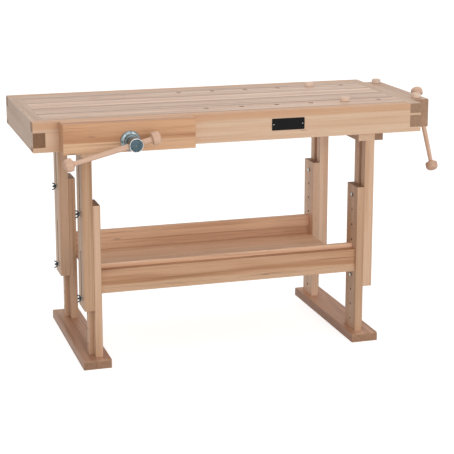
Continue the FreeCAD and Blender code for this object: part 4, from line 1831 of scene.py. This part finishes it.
@dataclass
class BenchDogs:
    """Round wooden dogs with domed heads."""

    maker: Maker
    head_radius: float = 18.0
    head_tall: float = 18.0
    shank_radius: float = 9.92
    shank_long: float = 60.0
    nodes: tuple[str, ...] = ("bench_dog_front", "bench_dog_back", "jaw_dog_front",
                              "jaw_dog_back")

    def build(self) -> None:
        """Makes the four dogs."""
        r, h, s = self.head_radius, self.head_tall, self.shank_radius
        corners = [(-self.shank_long, 0.0), (-self.shank_long, s - 1.4),
                   (-self.shank_long + 2.0, s), (-1.0, s), (0.0, s + 0.2), (0.0, r - 1.2),
                   (1.6, r), (h - 2.4, r), (h - 0.6, r - 1.8), (h - 0.1, r - 5.0), (h, 0.0)]
        for node in self.nodes:
            low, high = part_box(node)
            at = Vector(((low.x + high.x) / 2, (low.y + high.y) / 2, high.z - h * MM))
            mesh = self.maker.turned(rounded(corners, 1.4, 3), aimed(at, Axis.UP.value), 56)
            self.maker.grained(mesh, Axis.UP.value, node)
            self.maker.piece(f"{node}_turned", mesh, Beech.DOG, node, "beech_turned",
                             [node], 50.0)


# ---------------------------------------------------------------- studio
@dataclass
class Studio:
    """Floor, lamps, sky and camera, in metres and degrees."""

    eye: Vector = field(default_factory=lambda: Vector((-1.5757, -5.0018, 1.7929)))
    yaw: float = 17.057
    pitch: float = 12.609
    focal_px: float = 1371.4
    image_px: float = 454.0
    sensor_mm: float = 36.0
    shift_y: float = -0.099
    reach: float = 200.0
    floor_half: float = 40.0
    sky: Colour = (1.0, 0.985, 0.96, 1.0)
    sky_strength: float = 0.60

    def build(self) -> None:
        """Sets up everything round the bench."""
        scene = bpy.context.scene
        scene.view_settings.view_transform = "Standard"
        self._floor()
        self._sky()
        self._lamps()
        self._camera()
        log.info("studio: floor, sky, lamps and camera")

    def _floor(self) -> None:
        """Makes the floor."""
        mesh = bmesh.new()
        half = self.floor_half
        corners = [(-half, -half), (half, -half), (half, half), (-half, half)]
        mesh.faces.new([mesh.verts.new((x, y, 0.0)) for x, y in corners])
        data = bpy.data.meshes.new("studio_floor")
        mesh.to_mesh(data)
        mesh.free()
        data.materials.append(FloorFinish("studio_floor").material())
        floor = bpy.data.objects.new("studio_floor", data)
        bpy.context.scene.collection.objects.link(floor)

    def _sky(self) -> None:
        """Makes the world: white where it is seen, softer where it lights."""
        world = bpy.data.worlds.new("studio_sky")
        bpy.context.scene.world = world
        graph = Graph(world)
        soft = graph.node("ShaderNodeBackground", {},
                          {"Color": self.sky, "Strength": self.sky_strength})
        white = graph.node("ShaderNodeBackground", {}, {"Color": WHITE, "Strength": 1.0})
        graph.surroundings(graph.choice(graph.background_rays(), soft, white))

    def _lamps(self) -> None:
        """Hangs the large soft lamps."""
        self._lamp("front_lamp", at=(0.5, -8.0, 1.5), target=(0.0, 0.0, 0.5), size=5.0,
                   power=270.0)
        self._lamp("top_lamp", at=(0.0, 0.3, 3.4), target=(0.0, 0.1, 0.5), size=3.0,
                   power=20.0)

    def _lamp(self, name: str, at: Sequence[float], target: Sequence[float], size: float,
              power: float) -> None:
        """Hangs one area lamp.

        Args:
            name: Its name.
            at: Where it hangs.
            target: What it points at.
            size: Side of its square.
            power: Watts.
        """
        data = bpy.data.lights.new(name, "AREA")
        data.shape = "SQUARE"
        data.size = size
        data.energy = power
        lamp = bpy.data.objects.new(name, data)
        lamp.location = at
        lamp.rotation_mode = "QUATERNION"
        way = Vector(target) - Vector(at)
        lamp.rotation_quaternion = way.to_track_quat("-Z", "Y")
        bpy.context.scene.collection.objects.link(lamp)

    def _camera(self) -> None:
        """Sets up the camera."""
        data = bpy.data.cameras.new("studio_camera")
        data.sensor_fit = "HORIZONTAL"
        data.sensor_width = self.sensor_mm
        data.lens = self.focal_px / self.image_px * self.sensor_mm
        data.shift_y = self.shift_y
        data.clip_end = self.reach
        camera = bpy.data.objects.new("studio_camera", data)
        yaw, pitch = math.radians(self.yaw), math.radians(self.pitch)
        look = Vector((math.sin(yaw) * math.cos(pitch), math.cos(yaw) * math.cos(pitch),
                       -math.sin(pitch)))
        camera.location = self.eye
        camera.rotation_mode = "QUATERNION"
        camera.rotation_quaternion = look.to_track_quat("-Z", "Y")
        bpy.context.scene.collection.objects.link(camera)
        bpy.context.scene.camera = camera


def main() -> None:
    """Builds the dressed bench and its studio."""
    logging.basicConfig(level=logging.INFO, format="%(name)s: %(message)s")
    bpy.ops.object.select_all(action="SELECT")
    bpy.ops.object.delete()
    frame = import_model()
    maker = Maker(frame["nodes"])
    along, across = Axis.ALONG.value, Axis.ACROSS.value
    face_vise = Vise(maker, "face", along, across, tilt=14.2, near=79.0,
                     upper_wood=Beech.JAW_UPPER, lower_wood=Beech.JAW_LOWER)
    end_vise = Vise(maker, "end", across, -along, tilt=59.5, near=64.0,
                    upper_wood=Beech.JAW_END, lower_wood=Beech.JAW_END)
    for assembly in (Worktop(maker), NamePlate(maker), Legs(maker), Shelf(maker),
                     HeightBolts(maker), WoodScrews(maker), face_vise, end_vise,
                     BenchDogs(maker), Studio()):
        log.info("building %s", type(assembly).__name__)
        assembly.build()


if __name__ == "__main__":
    main()
